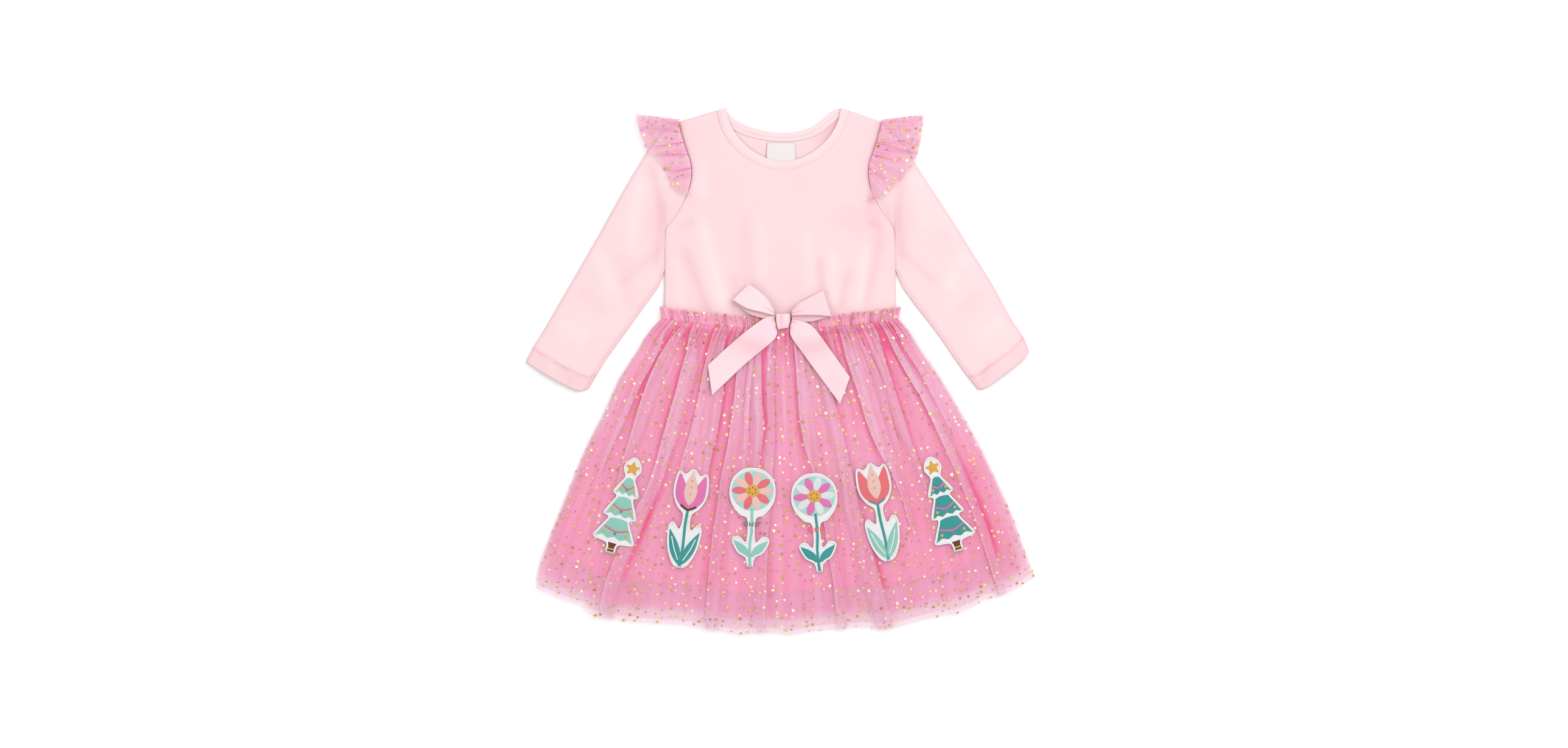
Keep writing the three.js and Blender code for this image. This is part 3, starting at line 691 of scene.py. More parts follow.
class Finishes:
    """Every finish of the dress, built once."""

    def __init__(self) -> None:
        """Builds the materials."""
        self.jersey = Jersey().make()
        self.neckband = Jersey("Neckband_rib", deep=colour(222, 150, 166), wale=1.6).make()
        self.stitching = self._thread("Sewing_thread", colour(214, 160, 172), colour(190, 128, 144))
        self.cuff_thread = self._thread("Cuff_thread", colour(246, 212, 215), colour(232, 184, 190))
        self.waist_thread = self._thread(
            "Waist_thread", colour(248, 196, 214), colour(236, 140, 176), Slot.TULLE
        )
        self.tulle = Net().make()
        under = colour(255, 192, 222), colour(255, 168, 208)
        self.under_tulle = Net("Under_tulle", Slot.UNDER_TULLE, *under, streaks=0.3).make()
        flutter = colour(246, 196, 228), colour(248, 174, 208), colour(228, 96, 162)
        self.ruffle = Net("Ruffle_tulle", Slot.TULLE, *flutter, streaks=0.3).make()
        self.lining = Lining().make()
        self.ribbon = Satin().make()
        self.foil = Foil().make()
        self.thread = Thread().make()
        self.label = Woven().make()

    @staticmethod
    def _thread(name: str, light: Colour, deep: Colour, slot: Slot = Slot.JERSEY) -> Dressing:
        """Sewing thread of a colour, finely twisted."""
        return Jersey(name, slot, light, deep, wale=0.3, course=0.3).make()


# Meshes


def select_only(piece: bpy.types.Object) -> None:
    """Makes one object the only selected and the active one.

    Args:
        piece: the object.
    """
    for other in bpy.context.selected_objects:
        other.select_set(False)
    piece.select_set(True)
    bpy.context.view_layer.objects.active = piece


def turn_faces_out(piece: bpy.types.Object, capped: bool = False) -> None:
    """Turns the faces of a closed shape outwards.

    Args:
        piece: the object.
        capped: whether its open ends are closed first.
    """
    select_only(piece)
    bpy.ops.object.mode_set(mode="EDIT")
    bpy.ops.mesh.select_all(action="SELECT")
    if capped:
        bpy.ops.mesh.region_to_loop()
        bpy.ops.mesh.edge_face_add()
        bpy.ops.mesh.select_all(action="SELECT")
    bpy.ops.mesh.normals_make_consistent(inside=False)
    bpy.ops.object.mode_set(mode="OBJECT")


def mesh_piece(name: str, corners: Grid, faces: Sequence[Sequence[int]]) -> bpy.types.Object:
    """Makes an object.

    Args:
        name: the piece's name.
        corners: its corners, in millimetres.
        faces: its faces, by their corners.

    Returns:
        The object, in the scene.
    """
    mesh = bpy.data.meshes.new(name)
    mesh.from_pydata((corners * MM).reshape(-1, 3).tolist(), [], [list(face) for face in faces])
    mesh.update()
    piece = bpy.data.objects.new(name, mesh)
    bpy.context.scene.collection.objects.link(piece)
    return piece


def paint(piece: bpy.types.Object, name: str, values: Grid) -> None:
    """Keeps one number for each corner of a mesh."""
    kept = piece.data.attributes.new(name, "FLOAT", "POINT")
    kept.data.foreach_set("value", np.asarray(values, np.float32).ravel())


def lay_pattern(piece: bpy.types.Object, places: Grid, name: str = "Cloth") -> None:
    """Gives each corner its place on the cloth.

    Args:
        piece: the object.
        places: how far across and along each corner lies: in metres, or in shares for the gathers.
        name: the layer's name.
    """
    mesh = piece.data
    index = np.zeros(len(mesh.loops), np.int32)
    mesh.loops.foreach_get("vertex_index", index)
    layer = mesh.uv_layers.new(name=name)
    layer.data.foreach_set("uv", np.asarray(places, np.float32).reshape(-1, 2)[index].ravel())


class Cloth:
    """A sheet on a grid of rows and columns, in millimetres."""

    def __init__(self, name: str, points: Grid, face_up: bool = True, ring: bool = False) -> None:
        """Makes the mesh.

        Args:
            name: the piece's name.
            points: rows by columns by x, y, z.
            face_up: whether the faces look up where columns run to the right and rows run down.
            ring: whether the last column joins the first.
        """
        rows, columns = points.shape[:2]
        r, c = np.meshgrid(np.arange(rows - 1), np.arange(columns if ring else columns - 1), indexing="ij")
        near, far = r * columns + c, r * columns + (c + 1) % columns
        corners = [near, near + columns, far + columns, far]
        faces = np.stack(corners if face_up else corners[::-1], -1).reshape(-1, 4)
        self.points = points
        self.piece = mesh_piece(name, points, faces)
        self.piece.data.shade_smooth()

    def pattern(self, across: Grid | None = None, along: Grid | None = None) -> None:
        """Lays the cloth's own pattern on.

        Args:
            across: millimetres across the cloth, or None to measure them on the sheet.
            along: millimetres along it, or None likewise.
        """
        u = lengths(self.points, 1) if across is None else across
        v = lengths(self.points, 0) if along is None else along
        lay_pattern(self.piece, np.stack([u, v], -1) * MM)

    def gather(self, share: Grid, down: Grid) -> None:
        """Lays the gathers' streaks on, by each point's share across and down the piece."""
        lay_pattern(self.piece, np.stack([share, down], -1), "Gathers")

    def paint(self, **tints: Grid | float) -> None:
        """Keeps numbers for the finish in the mesh."""
        for name, values in tints.items():
            paint(self.piece, name, np.broadcast_to(values, self.points.shape[:2]))

    def thicken(self, thickness: float, offset: float = -1.0) -> None:
        """Gives the sheet a wall.

        Args:
            thickness: the wall's, in millimetres.
            offset: where it goes: -1 below the faces, 0 half on each side.
        """
        select_only(self.piece)
        solidify = self.piece.modifiers.new("Wall", "SOLIDIFY")
        solidify.thickness = thickness * MM
        solidify.offset = offset
        solidify.use_even_offset = False
        bpy.ops.object.modifier_apply(modifier=solidify.name)


@dataclass(frozen=True)
class Cut:
    """What a sheet was cut to: its width and length in metres, and the share of that rectangle it fills."""

    width: float
    length: float
    fill: float = 1.0
    held: str = "laid"


def place_piece(
    piece: bpy.types.Object,
    dressing: Dressing,
    cut: Cut | None = None,
    extras: Sequence[bpy.types.Object] = (),
) -> bpy.types.Object:
    """Finishes a piece and gives it its place in the dress. A sheet stands for the CAD node of its own name.

    Args:
        piece: the object.
        dressing: its finish.
        cut: its flat size, for a sheet.
        extras: not used.

    Returns:
        The same object.
    """
    piece.data.materials.append(dressing.material)
    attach(piece, BODY)
    if cut:
        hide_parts(piece.name.lower())
        flat, area = (cut.width, cut.length), cut.width * cut.length * cut.fill
    triangles = sum(len(face.vertices) - 2 for face in piece.data.polygons)
    LOG.info("%s: %d triangles", piece.name, triangles)
    return piece


# Stitches and stars


@dataclass
class StitchRow:
    """A row of sewn stitches, each a short, slim bead of thread."""

    pitch: float = 2.4
    length: float = 1.7
    width: float = 0.42
    height: float = 0.4
    zigzag: float = 0.0
    dark: float = 0.35  # its shade

    # A bead's corners: both tips, both flanks, above and below
    BEAD = ((0, 2, 4), (2, 1, 4), (1, 3, 4), (3, 0, 4), (2, 0, 5), (1, 2, 5), (3, 1, 5), (0, 3, 5))

    def sew(self, name: str, path: Grid) -> bpy.types.Object:
        """Sews the row along a path.

        Args:
            name: the piece's name.
            path: points in millimetres, on the cloth.

        Returns:
            The stitches, as one object without a finish.
        """
        run = lengths(path)
        count = max(2, int(run[-1] / self.pitch))
        places = (np.arange(count) + 0.5) * run[-1] / count
        behind, middle, ahead = (
            np.stack([np.interp(places + step, run, path[:, k]) for k in range(3)], -1)
            for step in (-0.3, 0, 0.3)
        )
        along = unit(ahead - behind)
        side = np.stack([-along[:, 1], along[:, 0], np.zeros(count)], -1)
        swing = np.where(np.arange(count) % 2, 1, -1)[:, None] * self.zigzag
        c, s = np.cos(swing * 0.6), np.sin(swing * 0.6)
        along, side = along * c + side * s, side * c - along * s
        middle = middle + side * (swing * 0.5)
        tips = [along * self.length / 2, -along * self.length / 2]
        flanks = [side * self.width / 2, -side * self.width / 2]
        rises = [np.array([[0, 0, 1.0]]) * self.height * share for share in (0.7, -0.3)]
        corners = np.stack([middle + offset for offset in (*tips, *flanks, *rises)], 1)
        faces = [tuple(6 * k + c for c in face) for k in range(count) for face in self.BEAD]
        piece = mesh_piece(name, corners, faces)
        piece.data.shade_smooth()
        lay_pattern(piece, corners[..., :2].reshape(-1, 2) * MM)
        paint(piece, "shade", np.full(6 * count, self.dark))
        return piece


@dataclass
class StarSprinkle:
    """Gold foil stars, scattered over a net."""

    spacing: float = 4.8  # the least distance between two stars
    smallest: float = 1.55  # radius
    largest: float = 2.6
    thickness: float = 0.16
    waist: float = 0.42  # the inner corners' share of the radius
    lift: float = 0.12  # of a star off the net
    tipped_share: float = 0.16  # of the stars that stand steep in the net
    _star: Grid = field(init=False)
    _faces: list[tuple[int, ...]] = field(init=False)

    def __post_init__(self) -> None:
        """Models one star by hand: a circle of ten corners, every second one pulled in, made thick."""
        bpy.ops.mesh.primitive_circle_add(vertices=10, radius=1, fill_type="NGON")
        star = bpy.context.active_object
        for vertex in star.data.vertices:
            vertex.co *= self.waist if vertex.index % 2 else 1
        bpy.ops.object.mode_set(mode="EDIT")
        bpy.ops.mesh.select_all(action="SELECT")
        bpy.ops.mesh.extrude_region_move(TRANSFORM_OT_translate={"value": (0, 0, self.thickness)})
        bpy.ops.object.mode_set(mode="OBJECT")
        turn_faces_out(star)
        self._star = np.array([v.co for v in star.data.vertices], float)
        self._faces = [tuple(face.vertices) for face in star.data.polygons]
        bpy.data.objects.remove(star)

    def _spots(self, points: Grid, wanted: int, rng: np.random.Generator) -> tuple[Grid, Grid]:
        """Picks places that keep their distance.

        Args:
            points: the sheet's grid, in millimetres.
            wanted: how many places.
            rng: the source of chance.

        Returns:
            The places, and the sheet's upward normal at each.
        """
        corners = points[:-1, :-1], points[:-1, 1:], points[1:, :-1], points[1:, 1:]
        cross = np.cross(corners[1] - corners[0], corners[2] - corners[0])
        areas = np.linalg.norm(cross, axis=2).ravel()
        cells = rng.choice(len(areas), size=3 * wanted, p=areas / areas.sum())
        s, t = rng.random((2, len(cells), 1))
        a, b, c, d = (grid.reshape(-1, 3)[cells] for grid in corners)
        spots = mix(mix(a, b, s), mix(c, d, s), t)
        normals = unit(cross.reshape(-1, 3)[cells])
        normals *= np.where(normals[:, 2:] < 0, -1, 1)
        kept: list[int] = []
        taken: dict[tuple[int, int], list[int]] = {}
        for k, spot in enumerate(spots):
            x, y = int(spot[0] // self.spacing), int(spot[1] // self.spacing)
            near = [j for dx in (-1, 0, 1) for dy in (-1, 0, 1) for j in taken.get((x + dx, y + dy), [])]
            close = (
                np.hypot(*(spots[j] - spot)[:2]) < self.spacing * (0.7 + 0.6 * rng.random()) for j in near
            )
            if any(close):
                continue
            taken.setdefault((x, y), []).append(k)
            kept.append(k)
            if len(kept) >= wanted:
                break
        return spots[kept], normals[kept]

    def scatter(
        self, name: str, points: Grid, per_mm2: float, seed: int, pressed: bool = False
    ) -> bpy.types.Object:
        """Lays stars over a sheet.

        Args:
            name: the piece's name.
            points: the sheet's grid, in millimetres.
            per_mm2: stars to a square millimetre.
            seed: which of the scatters.
            pressed: whether the stars lie flat in the cloth, as where the dress lies on them.

        Returns:
            The stars, as one object without a finish.
        """
        rng = np.random.default_rng(seed)
        across, down = points[:-1, 1:] - points[:-1, :-1], points[1:, :-1] - points[:-1, :-1]
        area = np.linalg.norm(np.cross(across, down), axis=2).sum()
        spots, normals = self._spots(points, int(area * per_mm2), rng)
        count = len(spots)
        steep = rng.random(count) < self.tipped_share
        tipped, level = rng.uniform(0.8, 1.2, count), np.abs(rng.normal(0, 0.2, count))
        lean = np.where(steep, tipped, level) * (not pressed)
        turn, spin = rng.uniform(0, 2 * math.pi, (2, count))
        flat_turn, flat_spin = (np.stack([np.cos(x), np.sin(x), np.zeros(count)], -1) for x in (turn, spin))
        tipped = unit(normals + flat_turn * np.tan(lean)[:, None])
        first = unit(np.cross(tipped, flat_spin))
        second = np.cross(tipped, first)
        radius = rng.uniform(self.smallest, self.largest, count) * np.where(steep, 0.8, 1)
        drop = radius * np.hypot(tipped[:, 0], tipped[:, 1])
        spots[:, 2] = np.maximum(spots[:, 2], drop + 0.05)
        x, y, z = np.split(self._star, 3, axis=1)
        arms = x * (first * radius[:, None])[:, None] + y * (second * radius[:, None])[:, None]
        corners = spots[:, None] + arms + (z + self.lift) * tipped[:, None]
        size = len(self._star)
        faces = [tuple(size * k + j for j in face) for k in range(count) for face in self._faces]
        # Painted reflections: steep stars get dim tones; the others get tones round gold that drift slowly
        # over the skirt, the highest painted as glints.
        drift = np.sin(spots[:, 0] * 0.05 + 1.3) * np.sin(spots[:, 1] * 0.043) * 0.14
        dim, glint = rng.uniform(0.15, 0.45, count), np.clip(rng.normal(0.54, 0.22, count) + drift, 0.15, 1)
        piece = mesh_piece(name, corners, faces)
        paint(piece, "tone", np.repeat(np.where(steep, dim, glint), size))
        return piece


# Skirt


class Faces(Enum):
    """Which way the free edge of a fold looks."""

    LEFT = -1
    RIGHT = 1


class Pleat(NamedTuple):
    """One main fold of the tulle. A row gives how far down it is, the band's left and right edge as shares
    across the skirt, and how deep the shadow is beside each edge."""

    edge: Faces
    rows: tuple[tuple[float, float, float, float, float], ...]


# The front's main folds, from left to right
PLEATS = (
    Pleat(Faces.RIGHT, (
        (0.04, 0.044, 0.056, 0, 0.4), (0.11, 0.052, 0.07, 0, 0.5), (0.19, 0.055, 0.073, 0, 0.5),
        (0.31, 0.047, 0.065, 0, 0.45), (0.44, 0.048, 0.062, 0, 0.3), (0.55, 0.049, 0.059, 0, 0.1),
    )),
    Pleat(Faces.LEFT, (
        (0.03, 0.098, 0.118, 0.6, 0), (0.08, 0.087, 0.115, 0.8, 0), (0.14, 0.08, 0.118, 0.95, 0),
        (0.25, 0.086, 0.125, 0.95, 0), (0.34, 0.087, 0.121, 0.7, 0), (0.46, 0.094, 0.117, 0.4, 0),
        (0.57, 0.098, 0.11, 0.1, 0),
    )),
    Pleat(Faces.LEFT, (
        (0.02, 0.142, 0.161, 0.9, 0.2), (0.09, 0.161, 0.198, 1, 0.2), (0.15, 0.168, 0.217, 1, 0.2),
        (0.24, 0.178, 0.224, 1, 0.3), (0.32, 0.176, 0.219, 1, 0.35), (0.4, 0.174, 0.215, 0.95, 0.4),
        (0.48, 0.177, 0.21, 0.85, 0.5), (0.57, 0.171, 0.203, 0.5, 0.6), (0.65, 0.154, 0.19, 0.5, 0.85),
        (0.73, 0.149, 0.18, 0.5, 0.9), (0.81, 0.137, 0.169, 0.5, 0.7), (0.89, 0.132, 0.163, 0.3, 0.5),
        (0.97, 0.129, 0.155, 0.15, 0.3),
    )),
    Pleat(Faces.LEFT, (
        (0.01, 0.233, 0.244, 0.9, 0), (0.08, 0.239, 0.253, 0.9, 0), (0.15, 0.242, 0.256, 0.8, 0),
        (0.23, 0.249, 0.266, 0.6, 0), (0.31, 0.249, 0.267, 0.5, 0), (0.39, 0.246, 0.262, 0.5, 0),
        (0.46, 0.241, 0.255, 0.5, 0), (0.54, 0.237, 0.246, 0.3, 0),
    )),
    Pleat(Faces.RIGHT, (
        (0.01, 0.266, 0.284, 0, 0.9), (0.08, 0.273, 0.293, 0, 0.95), (0.14, 0.281, 0.302, 0, 0.9),
        (0.23, 0.302, 0.324, 0, 1), (0.31, 0.302, 0.323, 0, 0.95), (0.39, 0.299, 0.319, 0, 0.8),
        (0.47, 0.299, 0.316, 0, 0.7), (0.55, 0.299, 0.312, 0, 0.4),
    )),
    Pleat(Faces.LEFT, (
        (0.0, 0.349, 0.363, 0.6, 0), (0.14, 0.354, 0.381, 0.7, 0.1), (0.24, 0.36, 0.386, 0.7, 0.1),
        (0.32, 0.357, 0.384, 0.6, 0.1), (0.42, 0.353, 0.379, 0.6, 0.1), (0.53, 0.346, 0.372, 0.6, 0.1),
        (0.62, 0.344, 0.369, 0.7, 0.1), (0.7, 0.34, 0.366, 0.6, 0.1), (0.8, 0.341, 0.367, 0.6, 0.2),
        (0.9, 0.344, 0.368, 0.55, 0.2), (0.98, 0.342, 0.366, 0.4, 0.2),
    )),
    Pleat(Faces.RIGHT, (
        (0.0, 0.384, 0.397, 0, 0.6), (0.12, 0.393, 0.408, 0, 0.4), (0.22, 0.393, 0.407, 0, 0.35),
        (0.34, 0.395, 0.407, 0, 0.3), (0.46, 0.396, 0.407, 0, 0.25), (0.54, 0.397, 0.405, 0, 0.1),
    )),
    Pleat(Faces.RIGHT, (
        (0.0, 0.406, 0.419, 0, 0.8), (0.08, 0.408, 0.431, 0, 1), (0.17, 0.415, 0.44, 0, 1),
        (0.26, 0.421, 0.445, 0, 1), (0.32, 0.43, 0.453, 0, 0.9), (0.4, 0.427, 0.447, 0, 0.6),
        (0.5, 0.425, 0.442, 0, 0.5), (0.6, 0.423, 0.437, 0, 0.3),
    )),
    Pleat(Faces.RIGHT, (
        (0.01, 0.454, 0.471, 0.2, 0.5), (0.13, 0.454, 0.484, 0.1, 0.3), (0.32, 0.464, 0.483, 0.1, 0.25),
        (0.46, 0.457, 0.481, 0.1, 0.25), (0.6, 0.451, 0.473, 0.1, 0.3), (0.69, 0.448, 0.468, 0.1, 0.3),
        (0.85, 0.448, 0.466, 0.1, 0.3), (0.98, 0.445, 0.462, 0.1, 0.2),
    )),
    Pleat(Faces.LEFT, (
        (0.01, 0.552, 0.57, 0.6, 0.1), (0.13, 0.559, 0.591, 0.7, 0.1), (0.24, 0.557, 0.592, 0.85, 0.1),
        (0.32, 0.556, 0.592, 1, 0.1), (0.4, 0.562, 0.597, 1, 0.1), (0.48, 0.577, 0.608, 0.9, 0.1),
        (0.55, 0.588, 0.615, 0.7, 0.2), (0.65, 0.594, 0.616, 0.4, 0.3), (0.74, 0.598, 0.617, 0.3, 0.3),
        (0.86, 0.607, 0.625, 0.4, 0.3), (0.98, 0.607, 0.624, 0.3, 0.2),
    )),
    Pleat(Faces.RIGHT, (
        (0.0, 0.649, 0.664, 0, 0.7), (0.08, 0.637, 0.655, 0, 0.7), (0.16, 0.636, 0.661, 0, 0.7),
        (0.27, 0.638, 0.667, 0, 0.5), (0.39, 0.644, 0.673, 0, 0.35), (0.46, 0.646, 0.678, 0, 0.35),
        (0.53, 0.65, 0.682, 0, 0.4), (0.61, 0.648, 0.684, 0, 0.5), (0.71, 0.655, 0.694, 0, 0.75),
        (0.78, 0.664, 0.701, 0, 0.95), (0.86, 0.672, 0.708, 0, 0.9), (0.94, 0.68, 0.713, 0, 0.6),
        (0.99, 0.683, 0.715, 0, 0.4),
    )),
    Pleat(Faces.LEFT, (
        (0.01, 0.744, 0.764, 0.9, 0), (0.1, 0.739, 0.769, 0.95, 0), (0.19, 0.743, 0.776, 1, 0),
        (0.25, 0.745, 0.777, 1, 0), (0.32, 0.745, 0.776, 1, 0), (0.38, 0.75, 0.776, 1, 0),
        (0.44, 0.758, 0.782, 0.95, 0), (0.49, 0.77, 0.789, 0.9, 0), (0.55, 0.78, 0.796, 0.8, 0.1),
        (0.61, 0.786, 0.801, 0.6, 0.2), (0.69, 0.787, 0.799, 0.3, 0.1),
    )),
    Pleat(Faces.RIGHT, (
        (0.01, 0.795, 0.809, 0, 0.8), (0.07, 0.797, 0.812, 0, 0.5), (0.13, 0.813, 0.828, 0, 0.35),
        (0.2, 0.814, 0.83, 0, 0.3), (0.27, 0.809, 0.823, 0, 0.3), (0.37, 0.803, 0.815, 0, 0.25),
        (0.45, 0.806, 0.815, 0, 0.1),
    )),
    Pleat(Faces.RIGHT, (
        (0.02, 0.873, 0.889, 0, 0.85), (0.08, 0.856, 0.878, 0, 0.9), (0.13, 0.844, 0.87, 0, 0.9),
        (0.21, 0.833, 0.859, 0, 0.85), (0.28, 0.83, 0.854, 0, 0.8), (0.35, 0.827, 0.851, 0, 0.7),
        (0.41, 0.83, 0.849, 0, 0.6), (0.48, 0.835, 0.851, 0, 0.4), (0.56, 0.843, 0.852, 0, 0.2),
    )),
    Pleat(Faces.LEFT, (
        (0.03, 0.915, 0.931, 0.9, 0), (0.08, 0.911, 0.935, 0.9, 0), (0.15, 0.912, 0.939, 1, 0),
        (0.22, 0.912, 0.94, 0.95, 0), (0.29, 0.919, 0.945, 0.9, 0), (0.36, 0.921, 0.947, 0.9, 0),
        (0.43, 0.921, 0.948, 0.85, 0.1), (0.5, 0.922, 0.946, 0.7, 0.3), (0.6, 0.924, 0.946, 0.4, 0.7),
        (0.69, 0.926, 0.947, 0.3, 0.8), (0.78, 0.927, 0.948, 0.25, 0.9), (0.86, 0.928, 0.947, 0.2, 0.7),
        (0.94, 0.928, 0.943, 0.1, 0.3),
    )),
    Pleat(Faces.LEFT, (
        (0.03, 0.956, 0.968, 0.9, 0), (0.09, 0.949, 0.967, 0.85, 0), (0.17, 0.952, 0.97, 0.8, 0),
        (0.24, 0.952, 0.968, 0.6, 0), (0.32, 0.953, 0.967, 0.4, 0), (0.41, 0.954, 0.963, 0.1, 0),
    )),
)


def turned_round(pleats: Sequence[Pleat]) -> tuple[Pleat, ...]:
    """Turns the front's folds into the back's: mirrored, and let go before the hem.

    Args:
        pleats: the front's folds.

    Returns:
        The back's folds.
    """
    turned = []
    for pleat in reversed(pleats):
        edge = Faces.LEFT if pleat.edge is Faces.RIGHT else Faces.RIGHT
        rows = tuple((row[0], 1 - row[2], 1 - row[1], row[4], row[3]) for row in pleat.rows if row[0] < 0.9)
        turned.append(Pleat(edge, rows))
    return tuple(turned)


BACK_PLEATS = turned_round(PLEATS)


class Band(NamedTuple):
    """A fold of the tulle, read at each row of the skirt."""

    edge: int
    left: Grid
    right: Grid
    shade_left: Grid
    shade_right: Grid
    still: Grid  # how much of the fold is left, from 0 to 1


# One run of points down the skirt: share across, layers beneath it, painted shadow, painted highlight rim and
# cover
Column = tuple[Grid | float, Grid | float, Grid | float, Grid | float, Grid | float]


@dataclass
class SkirtNet:
    """A gathered sheet of tulle that lies in overlapping folds."""

    pleats: Sequence[Pleat]
    between_columns: int = 13
    band_columns: int = 4
    gathers: int = 52
    seed: int = 5

    # The height of the sheet's underside, its tight gathers and its wide folds, by the share down
    levels: tuple[tuple[float, float, float, float], ...] = (
        (-0.037, 6.3, 1.6, 0), (0, 7.5, 0.8, 0), (0.03, 7.9, 1.9, 0.5), (0.15, 8.5, 1.0, 2.2),
        (0.3, 9, 0.4, 3.2), (0.42, 9, 0, 3.4), (0.83, 9, 0, 3.4), (0.955, 8.6, 0, 3.2),
        (1, 3.3, 0, 3.4),
    )
    edge_level: float = 1.8
    reach: float = 1.0
    inset: float = 0.0
    beds: bool = True
    cover: float = 0.42  # of one layer
    hidden_cover: float = 0.26  # of a layer inside a fold
    turn_cover: float = 0.34  # where it turns
    shadow_reach: float = 4.2  # mm beside a fold's edge
    broad_shade_reach: float = 11.0
    slope: float = 7.0  # mm in which the cloth climbs onto a fold
    turn: float = 0.5  # mm that a turn stands out

    @staticmethod
    def _rows() -> Grid:
        """Spaces the rows, closest where the net is gathered.

        Returns:
            Shares down, from the heading's top to the hem.
        """
        gathered = 0.16
        starts = np.linspace(HEADING_DOWN, 0, 8), np.linspace(0, gathered, 26)[1:]
        return np.concatenate([*starts, np.linspace(gathered, 1, 92)[1:]])

    @staticmethod
    def _streaks(share: Grid, down: Grid, knots: int, seed: int) -> Grid:
        """Makes uneven values that run down the skirt in streaks.

        Args:
            share: shares across.
            down: shares down.
            knots: how many streaks lie across the skirt.
            seed: which of the patterns.

        Returns:
            Values from 0 to 1.
        """
        tables = np.random.default_rng(seed).random((5, knots + 3))
        place, level = np.clip(share, 0, 1) * knots, np.clip(down, 0, 0.999) * 4
        k, row = np.floor(place).astype(int), np.floor(level).astype(int)
        upper, lower = (mix(tables[r, k], tables[r, k + 1], ease(place - k)) for r in (row, row + 1))
        return mix(upper, lower, ease(level - row))

    def _bands(self, down: Grid) -> list[Band]:
        """Reads the folds at each row.

        Args:
            down: the rows' shares down.

        Returns:
            The folds from left to right.
        """
        bands = []
        for pleat in self.pleats:
            left, right, shade_left, shade_right = read_table(pleat.rows, down)
            start, end = pleat.rows[0][0], pleat.rows[-1][0]
            still = 1 - ease((down - end) / 0.05) if end < 0.93 else np.ones_like(down)
            still = still * (ease((down - start + 0.05) / 0.05) if start > 0.08 else 1)
            middle = (left + right) / 2
            left, right = (smooth_rows(mix(middle, x, still), 3) for x in (left, right))
            bands.append(Band(pleat.edge.value, left, right, shade_left * still, shade_right * still, still))
        return bands

    def _gap(self, before: Band, after: Band, width: Grid) -> list[Column]:
        """The single cloth from one fold to the next.

        Args:
            before: the fold on its left.
            after: the fold on its right.
            width: the skirt's width at each row.

        Returns:
            Its columns.
        """
        leaving, entering = 2.0 * (before.edge < 0) * before.still, 2.0 * (after.edge > 0) * after.still
        columns = []
        for s in np.linspace(0, 1, self.between_columns, endpoint=after.edge == 0):
            past, ahead = (x * (after.left - before.right) * width for x in (s, 1 - s))
            climbs = leaving * (1 - ease(past / self.slope)), entering * (1 - ease(ahead / self.slope))
            # Painted shade beside a fold's edge: a narrow shadow, and a broader, softer one (glow) that
            # deepens the pink.
            shadow, glow = (
                before.shade_right * ridge(past, reach) + after.shade_left * ridge(ahead, reach)
                for reach in (self.shadow_reach, self.broad_shade_reach)
            )
            across = mix(before.right, after.left, s)
            columns.append((across, np.maximum(*climbs), 0.75 * shadow + 0.3 * glow, 0, self.cover))
        return columns

    def _fold(self, band: Band, width: Grid) -> list[Column]:
        """The three layers of a fold, laid to and fro, with its free edge on top.

        Args:
            band: the fold.
            width: the skirt's width at each row.

        Returns:
            Its columns.
        """
        rightwards, still = band.edge > 0, band.still
        order, top = ((2, 1, 0), 0) if rightwards else ((0, 1, 2), 2)
        columns = []
        for number, level in enumerate(order):
            ends = (band.right, band.left) if number % 2 else (band.left, band.right)
            on_top = number == top
            covered = mix(self.cover, self.cover if on_top else self.hidden_cover, still)
            for s in np.linspace(0, 1, self.band_columns, endpoint=False):
                to_edge = (s if on_top and not rightwards else 1 - s) * (band.right - band.left) * width
                # crisp paints a highlight along the top layer's free edge, and shine another at each turn,
                # strongest at the free edge, where the net also lies denser.
                crisp = ridge(to_edge, 0.7) if on_top else 0
                columns.append((mix(*ends, s), level * still, 0, crisp * still, covered))
            if number < 2:
                out = self.turn / width * still * (-1 if number else 1)
                shine = 1.0 if number == (0 if rightwards else 1) else 0.2
                half_way = (level + order[number + 1]) / 2 * still
                turned = mix(self.cover, self.turn_cover, still)
                columns.append((ends[1] + out, half_way, 0, still * shine, turned))
        return columns

    def make(self, name: str) -> tuple[Cloth, Grid]:
        """Lays the sheet in its folds.

        Args:
            name: the piece's name.

        Returns:
            The cloth, and its grid in millimetres.
        """
        down = self._rows()
        zero, one = np.zeros_like(down), np.ones_like(down)
        width = np.linalg.norm(skirt_plan(one, down) - skirt_plan(zero, down), axis=1)
        before, side = (Band(0, x, x, zero, zero, zero) for x in (zero, one))
        columns: list[Column] = []
        for band in [*self._bands(down), side]:
            columns += self._gap(before, band, width)
            if band.edge:
                columns += self._fold(band, width)
            before = band
        share, *kept = np.stack([[np.broadcast_to(x, down.shape) for x in column] for column in columns], -1)
        return self._lay(name, share, np.broadcast_to(down[:, None], share.shape), kept)

